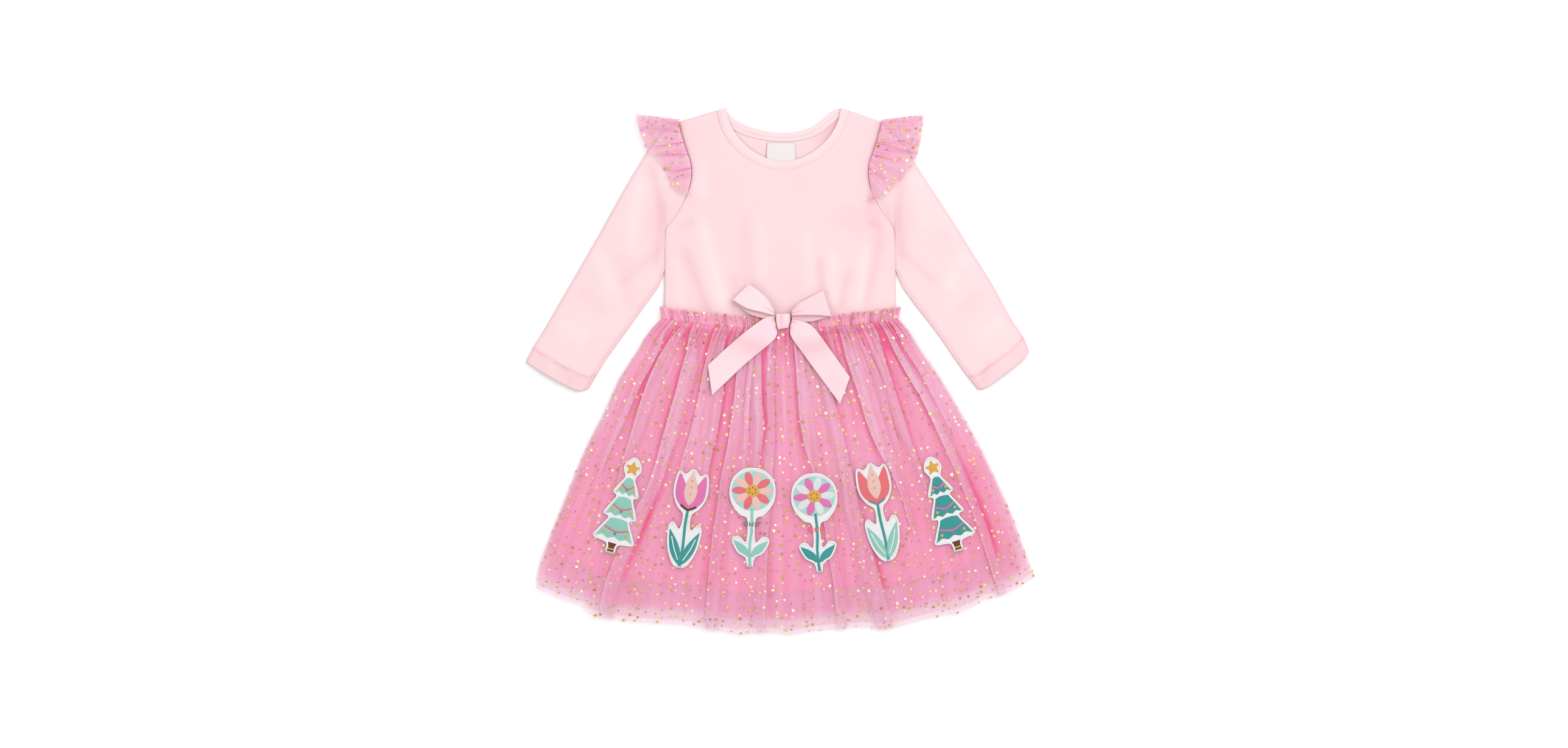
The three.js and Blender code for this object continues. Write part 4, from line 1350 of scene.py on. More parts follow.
    def _lay(self, name: str, share: Grid, down: Grid, kept: Sequence[Grid]) -> tuple[Cloth, Grid]:
        """Gives the folded rows their heights, and makes the cloth.

        Args:
            name: the piece's name.
            share: each point's share across the skirt.
            down: its share down.
            kept: the layers beneath it, its shadow, light rim and cover.

        Returns:
            The cloth, and its grid in millimetres.
        """
        lift, shade, rim, cover = kept
        level, gather, fold = read_table(self.levels, down)
        warp = 0.35 * np.sin(share * 31 + 1) + 0.3 * np.sin(share * 67) + 0.25 * np.sin(share * 113 + 2)
        up = np.clip(down / HEADING_DOWN, 0, 1)
        ripple = (0.5 + 0.5 * np.cos(2 * math.pi * (self.gathers * share + warp + 0.45 * up))) ** 0.8
        soft = self._streaks(share, down, 62, self.seed)
        wide = self._streaks(share, down, 17, self.seed + 1)
        height = level + gather * ripple + fold * (0.08 + 0.34 * lift + 0.3 * (soft - 0.4) + 0.2 * wide)
        if self.beds:
            height = mix(height, PATCH_BED_TOP - 0.5 + 0.2 * lift, patch_bed(share, down))
        inside = np.clip(np.minimum(share, 1 - share) / 0.01, 0, 1) ** 0.8
        height = mix(self.edge_level, height, inside)
        fray = (1.7 * ripple - 0.8 + 0.6 * np.sin(share * 190)) * up**3
        plan = skirt_plan(mix(self.inset, 1 - self.inset, share), np.where(down > 0, down * self.reach, down))
        points = np.stack([plan[..., 0], plan[..., 1] + fray, height], -1)
        cloth = Cloth(name, points)
        cloth.pattern()
        cloth.gather(share, down)
        # Painted shade in the gathers' valleys near the waist and along the waist seam; beyond the lining's
        # hem the net is painted paler with less shade, and its free strip gets a painted highlight rim,
        # standing in for the lit table seen through; the lower skirt is painted darker.
        near_waist = 1 - ease((down - 0.02) / 0.14)
        gathers = (1 - ripple) ** 1.3 * np.where(down < 0, 0.52, 0.85 * near_waist)
        seam = 0.45 * ridge(down - 0.001, 0.004) * (1.2 - ripple)
        below_seam = ease((down + 0.002) / 0.03)
        hem = ease((down - 0.868) / 0.01)
        free = ease((down - 0.945) / 0.02)
        low = ease((down - 0.35) / 0.3)
        cloth.paint(
            shade=np.clip((shade * below_seam + gathers + seam + 0.1 * low) * (1 - 0.6 * hem), 0, 1),
            tone=0.2 + mix(0.75, 0.5, low) * wide * ease(down / 0.05) - 0.26 * low + 0.42 * hem,
            rim=rim * mix(0.15, mix(0.6, 0.35, low), below_seam) + 0.45 * free,
            gathers=1 - ease((down - 0.1) / 0.4),
            cover=cover * mix(1, 0.8, hem) * mix(1, 0.5, free) + 0.22 * (1 - below_seam),
        )
        return cloth, points


def patch_bed(share: Grid, down: Grid) -> Grid:
    """How far the tulle is held flat under a patch.

    Args:
        share: shares across the skirt.
        down: shares down it.

    Returns:
        Values from 0 to 1.
    """
    near = np.min([np.abs(patch.share - share) for patch in PATCHES], axis=0)
    along = ease((down - 0.40) / 0.04) * ease((0.86 - down) / 0.04)
    return (1 - ease((near - 0.062) / 0.018)) * along


class Layer(NamedTuple):
    """A plain layer under the tulle."""

    name: str
    inset: float  # of its sides, as a share of the width
    reach: float  # its share of the tulle's length
    level: float
    wave: float
    folds: int
    wall: float
    cut: Cut


UNDER_CUT, LINING_CUT = Cut(0.5, 0.32, 0.78), Cut(0.48, 0.29, 0.78)
# From the table up
LAYERS = (
    Layer("Under_tulle_back", 0.016, 0.95, 1.5, 0.6, 22, 0, UNDER_CUT),
    Layer("Lining_back", 0.022, 0.872, 3.5, 0, 8, 0.7, LINING_CUT),
    Layer("Lining_front", 0.022, 0.872, 4.7, 0, 8, 0.7, LINING_CUT),
    Layer("Under_tulle_front", 0.016, 0.95, 5.6, 1.3, 24, 0, UNDER_CUT),
)


@dataclass
class Skirt:
    """The gathered skirt: outer tulle, under-tulle and lining, front and back."""

    finishes: Finishes
    star_density: float = 0.0095  # to a square millimetre
    back_star_share: float = 0.35
    seam_level: float = 8.1

    @staticmethod
    def _under(layer: Layer) -> bpy.types.Object:
        """Makes a plain layer with soft waves that grow down its length.

        Args:
            layer: which one.

        Returns:
            The layer without a finish.
        """
        u, v = np.meshgrid(np.linspace(0, 1, 241), np.linspace(0, 1, 61))
        plan = skirt_plan(mix(layer.inset, 1 - layer.inset, u), mix(0.004, layer.reach, v))
        uneven = np.sin(2 * math.pi * (layer.folds * u + 0.6 * np.sin(9 * u)))
        height = layer.level + layer.wave * ease(v / 0.3) * (0.5 + 0.5 * uneven)
        cloth = Cloth(layer.name, lifted(plan, height))
        cloth.pattern()
        cloth.gather(u, v)
        # Painted shade in the waves' troughs and a painted highlight along the hem, read by the tulle's
        # finish.
        rim, gathers = 0.3 * (v > 0.99), 1 - ease(v / 0.4)
        cloth.paint(shade=0.1 * (1 - uneven), tone=0.5, rim=rim, cover=0.46, gathers=gathers)
        if layer.wall:
            cloth.thicken(layer.wall)
        return cloth.piece

    def make(self) -> None:
        """Builds the layers from the table up."""
        done = self.finishes
        back, back_grid = SkirtNet(
            BACK_PLEATS,
            seed=31,
            levels=((-0.037, 0.5, 0.35, 0), (0, 0.5, 0.3, 0), (0.1, 0.4, 0.25, 0.5), (1, 0.4, 0.1, 0.6)),
            edge_level=0.5,
            reach=0.985,
            inset=0.004,
            beds=False,
            between_columns=9,
            band_columns=3,
        ).make("Skirt_tulle_back")
        place_piece(back.piece, done.tulle, Cut(0.54, 0.34, 0.8))
        sprinkle = StarSprinkle()
        back_density = self.star_density * self.back_star_share
        place_piece(sprinkle.scatter("Stars_back", back_grid, back_density, 9, pressed=True), done.foil)
        for layer in LAYERS:
            place_piece(self._under(layer), done.lining if layer.wall else done.under_tulle, layer.cut)
        share = np.linspace(0.004, 0.996, 400)
        seam = lifted(waist_line(share), self.seam_level + 0.5 * np.sin(share * 330))
        stitches = StitchRow(pitch=2.2, length=2.0, width=0.5, zigzag=1.1).sew("Waist_stitches", seam)
        place_piece(stitches, done.waist_thread)
        net, grid = SkirtNet(PLEATS).make("Skirt_tulle_front")
        stars = place_piece(sprinkle.scatter("Stars_front", grid, self.star_density, 3), done.foil)
        cut = Cut(0.58, 0.345, 0.85, "gathered")
        place_piece(net.piece, done.tulle, cut, [stars, stitches])


# Bodice and neck


class Neckline(NamedTuple):
    """A neckline that hangs from the shoulders as a superellipse."""

    middle_x: float
    half_width: float
    top_y: float
    depth: float
    power: float
    raised: float = 0.0  # mm that its right part stands higher

    def at(self, share: Grid) -> Grid:
        """Reads the line.

        Args:
            share: shares from the left shoulder round to the right one.

        Returns:
            The x and y at each share.
        """
        angle = math.pi * (1 - np.asarray(share, float))
        x = self.middle_x + self.half_width * squared_off(np.cos(angle), 2 / self.power)
        rise = self.raised * ridge(share - 0.825, 0.12) * ease((1 - share) / 0.08)
        return np.stack([x, self.top_y - self.depth * np.abs(np.sin(angle)) ** (2 / self.power) + rise], -1)


NECK_SEAM = {
    "front": Neckline(3.2, 69.2, 279.5, 63.3, 1.855),
    "back": Neckline(3.2, 69.2, 279.5, 33, 1.9, 8.5),
}
NECK_EDGE = {"front": Neckline(3.6, 60.8, 282, 57.1, 1.8), "back": Neckline(3.6, 60.8, 282, 26.2, 1.8, 9.0)}

# Soft folds of the front above the waist seam: x at the seam, lean, width, height and how far up they reach
WAIST_FOLDS = (
    (-96, 0.1, 13, 1.1, 70), (-62, -0.35, 15, 1.5, 85), (-24, 0.15, 13, 1.0, 95), (30, -0.1, 14, 1.1, 80),
    (66, 0.3, 15, 1.4, 90), (101, -0.1, 12, 1.0, 60),
)

# Soft dips (below 0) and swells (above 0) of the front, shaped and also painted as shade and light: from x, y
# to x, y, width and height
FRONT_CREASES = (
    (-103, 131, -76, 60, 6, -0.9), (-84, 160, -59, 62, 8, 0.7), (-38, 165, -35, 88, 8, -0.5),
    (-22, 160, -20, 95, 8, 0.4), (41, 122, 45, 80, 5, -0.8), (30, 150, 31, 85, 7, 0.4),
    (97, 186, 107, 134, 9, -0.7), (106, 138, 91, 68, 6, -0.8), (92, 130, 84, 66, 6, 0.6),
    (73, 108, 64, 66, 4.5, -0.8), (56, 130, 55, 70, 7, 0.5), (-112, 120, -104, 66, 5, 0.4),
    (-84, 225, -84, 185, 9, 0.5), (80, 175, 74, 150, 22, -0.3), (-50, 105, -48, 70, 5, -0.5),
    (-108, 152, -92, 160, 4, -0.6), (108, 152, 94, 161, 4, -0.6),
)


def crease_field(x: Grid, y: Grid, creases: Sequence[Sequence[float]]) -> Grid:
    """Adds up the heights of a table of creases.

    Args:
        x: each place's x.
        y: each place's y.
        creases: rows of x, y to x, y, width and height.

    Returns:
        The height at each place.
    """
    total = np.zeros_like(x)
    for x0, y0, x1, y1, width, height in creases:
        dx, dy = x1 - x0, y1 - y0
        length = math.hypot(dx, dy)
        t = ((x - x0) * dx + (y - y0) * dy) / length**2
        off = ((x - x0) * dy - (y - y0) * dx) / length
        total += height * ridge(off, width) * ease((t + 0.15) / 0.3) * ease((1.15 - t) / 0.3)
    return total


@dataclass
class Bodice:
    """The jersey bodice, front and back."""

    finishes: Finishes
    underarm_y: float = 152.0
    side_share: float = (152 - WAIST_SIDE_Y) / (152 - WAIST_SIDE_Y + ARMHOLE.length)  # of the side seam
    shoulder_share: dict[str, float] = field(default_factory=lambda: {"front": 2 / 20, "back": 2 / 14})
    crown: float = 1.9
    wall: float = 1.1
    bed: float = 1.3  # how far the panels lift to lie on the heading of the back tulle

    def _edge(self, side: float) -> Edge:
        """Finds an outer edge.

        Args:
            side: 1 for the right, -1 for the left.

        Returns:
            The side seam and armhole, by the share up.
        """

        def at(v: Grid) -> Grid:
            """Finds its points, below the underarm on the seam and above it on the armhole.

            Args:
                v: shares up.

            Returns:
                The x and y at each share.
            """
            up = np.clip(v / self.side_share, 0, 1)
            seam = np.stack([np.full_like(up, HALF_CHEST), mix(WAIST_SIDE_Y + SEAM, self.underarm_y, up)], -1)
            hole = ARMHOLE.even(1 - np.clip((v - self.side_share) / (1 - self.side_share), 0, 1))
            return np.where((v < self.side_share)[..., None], seam, hole) * (side, 1)

        return at

    def _head(self, face: str) -> Edge:
        """Finds the upper edge.

        Args:
            face: front or back.

        Returns:
            Shoulder, neck seam and shoulder, by the share across.
        """
        share, neck = self.shoulder_share[face], NECK_SEAM[face]
        first, last = neck.at(np.array([0.0, 1.0]))
        tip = ARMHOLE.even(0.0)

        def at(u: Grid) -> Grid:
            """Finds its points, with a straight shoulder on each side of the neck.

            Args:
                u: shares across.

            Returns:
                The x and y at each share.
            """
            left = mix(tip * (-1, 1), first, np.clip(u / share, 0, 1)[..., None])
            right = mix(last, tip, np.clip((u - 1 + share) / share, 0, 1)[..., None])
            middle = neck.at(np.clip((u - share) / (1 - 2 * share), 0, 1))
            u = u[..., None]
            return np.where(u < share, left, np.where(u > 1 - share, right, middle))

        return at

    @staticmethod
    def _foot(share: Grid) -> Grid:
        """The lower edge, at the waist seam."""
        return waist_line(share, HALF_CHEST) + (0, SEAM)

    def _plan(self, face: str, u: Grid, v: Grid) -> Grid:
        """Lays the panel between its edges. Only the cloth near a side follows that side's curve.

        Args:
            face: front or back.
            u: shares across.
            v: shares up.

        Returns:
            The x and y of each place.
        """
        head, ends = self._head(face), np.array([0.0, 1.0])
        plan = mix(self._foot(u), head(u), v[..., None])
        for k, (side, off) in enumerate(((-1, u), (1, 1 - u))):
            straight = mix(self._foot(ends)[k], head(ends)[k], v[..., None])
            near = np.clip(1 - off / self.shoulder_share[face], 0, 1)[..., None]
            plan = plan + (self._edge(side)(v) - straight) * near
        return plan

    def _front_height(self, u: Grid, v: Grid, x: Grid, y: Grid) -> Grid:
        """Gives the front its crown, folds and creases.

        Args:
            u: shares across.
            v: shares up.
            x: each place's x.
            y: each place's y.

        Returns:
            The height of its face.
        """
        sides = np.clip(np.sin(math.pi * u), 0, 1) ** 0.7
        loft = self.crown * sides * ease(v / 0.3)
        up = y - WAIST_MIDDLE_Y
        for at, lean, width, height, reach in WAIST_FOLDS:
            fold = height * ridge(x - at - lean * up, width) * ease(v / 0.12)
            loft += fold * (1 - ease(up / reach)) * sides
        gathers = 0.22 * np.sin(x * 0.62 + 2 * np.sin(x * 0.05)) * (1 - ease(up / 26)) * sides
        return 1.5 + self.wall + loft + gathers + crease_field(x, y, FRONT_CREASES)

    def make(self) -> None:
        """Builds both panels, the back one first."""
        for face in ("back", "front"):
            shoulder = self.shoulder_share[face]
            ends = np.linspace(0, shoulder, 12, endpoint=False), np.linspace(1 - shoulder, 1, 13)
            across = [ends[0], np.linspace(shoulder, 1 - shoulder, 80, endpoint=False), ends[1]]
            u, v = np.meshgrid(np.concatenate(across), np.linspace(1, 0, 110))
            plan = self._plan(face, u, v)
            x, y = plan[..., 0], plan[..., 1]
            bed = self.bed * (1 - ease((y - WAIST_SIDE_Y - HEADING - 4) / 20))
            if face == "front":
                height = bed + self._front_height(u, v, x, y)
                # Painted shade: darker in the creases' dips and lighter on their swells, and darker along the
                # side edges and where the heading's top lies against the jersey.
                edge_and_heading_shade = ridge(np.minimum(u, 1 - u), 0.008) + ridge(y - WAIST_MIDDLE_Y - HEADING - 4, 8)
                shade = 0.2 - 0.25 * crease_field(x, y, FRONT_CREASES) + 0.1 * edge_and_heading_shade
            else:
                height = bed + self.wall
                shade = 0.2 + 0.5 * ease((x - 20) / 50) * ease((y - 225) / 30)
            cloth = Cloth(f"Bodice_{face}", lifted(plan, height))
            cloth.pattern(across=x, along=y)
            cloth.paint(shade=shade)
            cloth.thicken(self.wall)
            place_piece(cloth.piece, self.finishes.jersey, Cut(0.25, 0.235, 0.9))


@dataclass
class Neck:
    """The neckband, its topstitching and the bare label."""

    finishes: Finishes
    levels: dict[str, float] = field(default_factory=lambda: {"front": 2.9, "back": 0.0})
    wall: float = 2.0
    around: int = 20

    def _band(self, face: str) -> bpy.types.Object:
        """Makes one half of the band: a folded strip with soft edges.

        Args:
            face: front or back.

        Returns:
            The half without a finish.
        """
        share = np.linspace(0, 1, 121)
        seam, edge = NECK_SEAM[face].at(share), NECK_EDGE[face].at(share)
        angle = np.linspace(0, 2 * math.pi, self.around, endpoint=False)
        across = 0.46 + 0.53 * squared_off(np.cos(angle), 0.5)
        rise = 0.5 + 0.5 * squared_off(np.sin(angle), 0.55)
        plan = mix(seam[:, None], edge[:, None], across[None, :, None])
        band = Cloth(f"Neckband_{face}", lifted(plan, self.levels[face] + self.wall * rise), ring=True)
        width = np.linalg.norm(edge - seam, axis=1)[:, None]
        run = np.broadcast_to(lengths(seam)[:, None], plan.shape[:2])
        band.pattern(across=run, along=across[None] * width)
        band.paint(shade=0.1 + 0.22 * ridge(across + 0.05, 0.07) + 0.15 * (rise < 0.4))
        turn_faces_out(band.piece, capped=True)
        return band.piece

    def _stitches(self, face: str, past: float, level: float, row: StitchRow) -> bpy.types.Object:
        """Sews the topstitching of one half.

        Args:
            face: front or back.
            past: the row's place, as a share of the way from the seam to the edge.
            level: its height.
            row: its stitches.

        Returns:
            The row.
        """
        share = np.linspace(0.015, 0.985, 200)
        path = mix(NECK_SEAM[face].at(share), NECK_EDGE[face].at(share), past)
        return place_piece(row.sew(f"Neck_stitches_{face}", lifted(path, level)), self.finishes.stitching)

    @staticmethod
    def _label() -> bpy.types.Object:
        """Makes the woven label, bare, folded at its top.

        Returns:
            The label without a finish.
        """
        u, v = np.meshgrid(np.linspace(0, 1, 25), np.linspace(0, 1, 25))
        half = 14.6 + 0.8 * np.sin(math.pi * v)
        x = 0.9 + mix(-half, half, u)
        y = mix(244.8, 213, v) - 0.9 * np.sin(math.pi * u) * v
        label = Cloth("Neck_label", np.stack([x, y, 2.55 + 0.35 * np.sin(math.pi * v)], -1))
        label.pattern(across=x, along=y)
        label.paint(shade=0.1 + 0.4 * ridge(v - 1, 0.05) + 0.2 * ridge(np.minimum(u, 1 - u), 0.03))
        label.thicken(0.5)
        return label.piece

    def make(self) -> None:
        """Builds the band, the stitches and the label."""
        front = self._stitches("front", 0.24, 4.85, StitchRow(pitch=2.1, zigzag=0.0))
        back = self._stitches("back", 0.42, 1.98, StitchRow(pitch=1.6, zigzag=1.0))
        for face, row, length in (("back", back, 0.165), ("front", front, 0.21)):
            cut = Cut(0.011, length, 1, "stretched")
            place_piece(self._band(face), self.finishes.neckband, cut, [row])
        place_piece(self._label(), self.finishes.label, Cut(0.031, 0.032))


# Sleeves and ruffles

# Sleeve sections from the cuff to the armhole: outer fold x, y, inner fold x, y, bend to the armhole, hem
SLEEVE_SECTIONS = {
    "left": (
        (272, 9.8, 205, -18.2, 0, 0.5), (264.5, 25, 197.5, -5.5, 0, 0.5), (252, 45, 187, 12, 0, 0),
        (236.3, 72.2, 171, 34, 0, 0), (222, 97, 157.6, 52.7, 0, 0), (207, 123, 143, 73, 0, 0),
        (190.8, 150.2, 129.5, 91.5, 0, 0), (174, 181, 122.9, 110, 0.02, 0), (159, 207, 122.7, 125, 0.04, 0),
        (142, 234.7, 122.7, 138, 0.08, 0), (126, 255.5, 123, 150.8, 0.16, 0),
        (108.5, 267.2, 122.9, 152, 1, 0),
    ),
    "right": (
        (266.2, 20.8, 212.5, -19.8, 0, 0.5), (260.5, 37, 201.5, -6, 0, 0.5), (249, 53, 190, 9.5, 0, 0),
        (238.2, 72.2, 174, 33, 0, 0), (225.5, 96, 159.6, 52.7, 0, 0), (209, 122, 144.5, 71.5, 0, 0),
        (191.4, 150.2, 130.5, 91, 0, 0), (173.5, 178, 122.9, 110, 0.02, 0), (157, 203, 122.7, 125, 0.04, 0),
        (141, 228, 122.7, 138, 0.08, 0), (125, 250, 123, 150.8, 0.16, 0), (108.5, 267.2, 122.9, 152, 1, 0),
    ),
}
# How far each cuff bows out past the line between its corners: share, left, right
CUFF_BULGE = (
    (0, 0, 0), (0.1, 1.6, 3), (0.3, 4, 3.9), (0.5, 5.8, 4), (0.8, 7.6, 3.9), (0.9, 6.6, 3.2), (1, 0.5, 0),
)
# Soft dips and swells of the sleeves, shaped and also painted as shade and light: from x, y to x, y, width
# and height
SLEEVE_CREASES = {
    "left": (
        (-139, 222, -127, 172, 5, -0.9), (-126, 176, -132, 112, 6, -0.8), (-150, 205, -160, 130, 9, 0.6),
        (-128, 132, -172, 92, 5, -0.6), (-172, 122, -160, 66, 8, -0.35), (-196, 130, -176, 84, 9, 0.5),
        (-215, 88, -186, 62, 8, -0.4), (-236, 52, -206, 34, 10, 0.4), (-232, 4, -222, -14, 4, -0.5),
        (-248, 16, -243, -2, 4, 0.4),
    ),
    "right": (
        (131, 222, 126, 172, 5, -0.7), (126, 172, 130, 116, 5, -0.8), (146, 215, 152, 150, 9, 0.3),
        (128, 130, 168, 92, 5, -0.5), (170, 150, 196, 96, 10, -0.3), (196, 126, 178, 86, 9, 0.5),
        (218, 86, 190, 60, 8, -0.4), (238, 54, 210, 30, 10, 0.4), (222, 12, 216, -14, 4, -0.6),
        (244, 26, 238, 6, 4, 0.4),
    ),
}


@dataclass
class Sleeve:
    """A long sleeve: a flat-lying tube, open at the cuff and sewn in at the armhole."""

    finishes: Finishes
    name: str
    side: float
    edge_height: float = 2.9
    crown: float = 1.6
    wall: float = 0.9
    tuck: float = 0.5  # mm of its end under the bodice's edge
    end_level: float = 2.5  # of its upper face at the armhole
    columns: int = 44
    rows: int = 96
    hem: float = 17.0  # mm that are turned up at the cuff
    hem_rows: tuple[float, float] = (16.0, 18.2)  # mm from the cuff to each row of twin-needle stitches

    def _plan(self, u: Grid, place: Grid) -> tuple[Grid, Grid]:
        """Lays the sleeve flat between its two folds.

        Args:
            u: shares from the outer fold to the inner one.
            place: places from the first section to the last.

        Returns:
            The x and y of each place, and how much the hem adds to the height.
        """
        sections = np.array(SLEEVE_SECTIONS[self.name], float)
        marks = np.arange(len(sections))
        columns = [smooth_rows(np.interp(place[:, 0], marks, sections[:, k]), 2) for k in range(6)]
        outer, inner = (np.stack([self.side * columns[k], columns[k + 1]], -1)[:, None] for k in (0, 2))
        bend, hem = columns[4][:, None, None], columns[5][:, None]
        chord = mix(ARMHOLE.even(0.0), ARMHOLE.even(1.0), u[..., None]) * (self.side, 1)
        bow = ((ARMHOLE.even(u) - (self.tuck, 0)) * (self.side, 1) - chord) * bend
        towards = unit(inner - outer)
        bulge = np.array(CUFF_BULGE, float)
        out = np.interp(u, bulge[:, 0], bulge[:, 1 if self.name == "left" else 2]) * np.clip(1 - place, 0, 1)
        away = np.concatenate([towards[..., 1:], -towards[..., :1]], -1) * (-self.side * out)[..., None]
        return mix(outer, inner, u[..., None]) + bow + away, hem

    def _shade(self, u: Grid, plan: Grid, run: Grid, width: Grid) -> Grid:
        """Shades the hem, the folds, the underarm and the creases.

        Args:
            u: shares from the outer fold to the inner one.
            plan: each point's x and y.
            run: millimetres from the cuff.
            width: the sleeve's width in each row.

        Returns:
            Values from 0 to 1.
        """
        x, y = plan[..., 0], plan[..., 1]
        hem = 0.3 * ridge(run - self.hem, 1.6) + 0.12 * (run < self.hem)
        folds = 0.3 * ridge(np.minimum(u, 1 - u) * width, 2.2) + 0.3 * ridge((1 - u) * width - 3.4, 0.7)
        pit = 0.15 * ridge(np.hypot(x - self.side * 128, y - 165), 22)
        return np.clip(0.15 - 0.24 * crease_field(x, y, SLEEVE_CREASES[self.name]) + hem + folds + pit, 0, 1)

    def make(self) -> None:
        """Builds the sleeve and its hem stitches."""
        half = np.linspace(0, 1, self.columns)
        round_trip = np.concatenate([half, half[-2:0:-1]])
        upper = np.arange(len(round_trip)) < self.columns
        last = len(SLEEVE_SECTIONS[self.name]) - 1
        place = np.linspace(0, last, self.rows)[:, None] * np.ones((1, len(round_trip)))
        u = np.broadcast_to(swell(round_trip / 2), place.shape)
        plan, hem = self._plan(u, place)
        x, y = plan[..., 0], plan[..., 1]
        arch = np.clip(np.sin(math.pi * u), 0, 1)
        low = 1.3 * ease((y - 125) / 30)
        high = low + self.edge_height + self.crown * arch + hem
        high = high + crease_field(x, y, SLEEVE_CREASES[self.name]) * arch**0.5
        high = mix(high, self.end_level, ease((place - last + 0.8) / 0.8))
        roundness = np.clip(np.sin(math.pi * round_trip), 0, 1) ** 0.4
        middle = (high + low) / 2
        points = lifted(plan, middle + (np.where(upper, high, low) - middle) * roundness)
        cloth = Cloth(f"Sleeve_{self.name}", points, face_up=self.side > 0, ring=True)
        run = lengths(points)
        width = np.linalg.norm(points[:, 0] - points[:, self.columns - 1], axis=1)[:, None]
        cloth.pattern(across=u * width + np.where(upper, 0, 200), along=run)
        cloth.paint(shade=self._shade(u, plan, run, width))
        cloth.thicken(self.wall)
        cut = Cut(0.18, 0.31, 0.75)
        place_piece(cloth.piece, self.finishes.jersey, cut, self._stitch_rows(points, run))

    def _stitch_rows(self, points: Grid, run: Grid) -> list[bpy.types.Object]:
        """Sews twin rows of stitches above the cuff, on the upper face.

        Args:
            points: the sleeve's grid.
            run: how far each point lies from the cuff.

        Returns:
            Both rows.
        """
        rows = []
        for number, distance in enumerate(self.hem_rows, 1):
            path = [
                [np.interp(distance, run[:, column], points[:, column, k]) for k in range(3)]
                for column in range(2, self.columns - 2)
            ]
            row = StitchRow(pitch=2.6).sew(f"Cuff_stitches_{self.name}_{number}", np.array(path))
            rows.append(place_piece(row, self.finishes.cuff_thread))
        return rows


# The free edge of each ruffle, from the shoulder fold round to the tip: x, y
RUFFLE_EDGE = {
    "left": (
        (153.1, 272.6), (151.5, 262), (147, 249), (140.5, 236), (130, 226), (122, 213), (117, 201),
        (109, 192), (93, 188),
    ),
    "right": (
        (153.1, 272), (151.5, 258), (149.5, 244), (145, 228), (136, 213), (124, 199), (113, 190),
        (104, 183), (93.3, 182.6),
    ),
}


@dataclass
class Ruffle:
    """A flutter ruffle: gathered into the armhole, folded over the shoulder and waved at its free edge."""

    finishes: Finishes
    name: str
    side: float
    seam_share: float = 0.62
    waves: int = 5
    wave: float = 3.4
    front_level: float = 7.1
    back_level: float = 0.5
    rows: int = 18
    seed: int = 4
    star_density: float = 0.0165
    # Deeper folds, painted as shade lines only: where they start along the ruffle, how they lean and how dark
    # they are
    folds: tuple[tuple[float, float, float], ...] = ((0.3, 0.05, 0.8), (0.47, -0.04, 0.7), (0.66, -0.03, 0.6))

    def make(self, sprinkle: StarSprinkle) -> None:
        """Builds the ruffle and its stars.

        Args:
            sprinkle: the stars' source.
        """
        edge = SeamLine(RUFFLE_EDGE[self.name], self.side)
        back, turn = np.linspace(1, 0, 50, endpoint=False), np.linspace(0, 1, 8)
        front = np.linspace(0, 1, 170)[1:]
        t = np.concatenate([back, np.zeros_like(turn), front])[:, None]
        turned = np.concatenate([np.zeros_like(back), turn, np.ones_like(front)])[:, None]
        t, turned, v = np.broadcast_arrays(t, turned, np.linspace(0, 1, self.rows)[None])
        seam = (ARMHOLE.even(self.seam_share * t) + (SEAM, 0)) * (self.side, 1)
        behind, before = turned == 0, turned == 1
        width = np.where(behind, 1 - 0.7 * ease(2 * t - 1), 1)
        plan = mix(seam, edge.at(np.where(behind, 0.8 * t, t)), (v * width)[..., None])
        rng = np.random.default_rng(self.seed)
        broad, fine = (rng.uniform(0, 6) for _ in range(2))
        warp = 0.35 * np.sin(9 * t + 1.5 * v + broad) + 0.2 * np.sin(23 * t - v + fine)
        wave = np.sin(math.pi * (self.waves * t + warp)) ** 2
        fine = np.sin(math.pi * (26 * t + warp)) ** 2
        rise = before * (self.wave * (0.35 + 0.65 * v) * wave * (1 - 0.5 * t) + 0.7 * fine * (1 - v))
        half = (self.front_level - self.back_level) / 2
        height = self.back_level + half * (1 - np.cos(math.pi * turned)) + rise
        over = half * (np.sin(math.pi * turned) - 0.25 * (1 - ease(t / 0.25)))
        points = np.stack([plan[..., 0], plan[..., 1] + over, height], -1)
        cloth = Cloth(f"Ruffle_{self.name}", points, face_up=self.side < 0)
        cloth.pattern()
        # Painted shade between the waves and the fine gathers and in the deeper folds, and a painted
        # highlight along the free edge.
        shade = (1 - wave) ** 2 * (0.3 - 0.2 * v) + (1 - fine) ** 2 * 0.4 * (1 - v) ** 4
        for at, lean, depth in self.folds:
            shade = shade + depth * ridge(t - at - lean * v, 0.011) * (1 - ease((v - 0.55) / 0.35))
        cloth.gather(t * 0.35, 0.6 * v)
        cloth.paint(
            shade=np.clip(shade, 0, 1) * before,
            tone=0.3 + 0.4 * wave,
            rim=0.25 * ridge(v - 1, 0.04),
            cover=0.47 - 0.12 * v**3,
            gathers=1 - v,
        )
        seed = 20 + int(self.side)
        stars = sprinkle.scatter(f"Stars_ruffle_{self.name}", points, self.star_density, seed)
        place_piece(stars, self.finishes.foil)
        cut = Cut(0.17, 0.042, 0.95, "gathered")
        place_piece(cloth.piece, self.finishes.ruffle, cut, [stars])


# Bow

# Loop rows from the knot to the loop's end: upper edge x, y, lower edge of the front layer, of the back layer
BOW_LOOPS = {
    "left": (
        (-6.4, 66.5, -6.4, 60, -6.4, 57), (-13, 77, -19.5, 63.5, -17, 57),
        (-22, 85.5, -36, 67.8, -34, 62.5), (-32.2, 93, -49.7, 76, -49.7, 76),
    ),
    "right": (
        (12.5, 65.5, 12.5, 60, 12.5, 53.5), (20, 73, 26, 60.3, 24, 53), (32, 79.6, 40, 60.2, 38, 54.5),
        (44.5, 86.5, 53, 59.2, 53, 59.2),
    ),
}
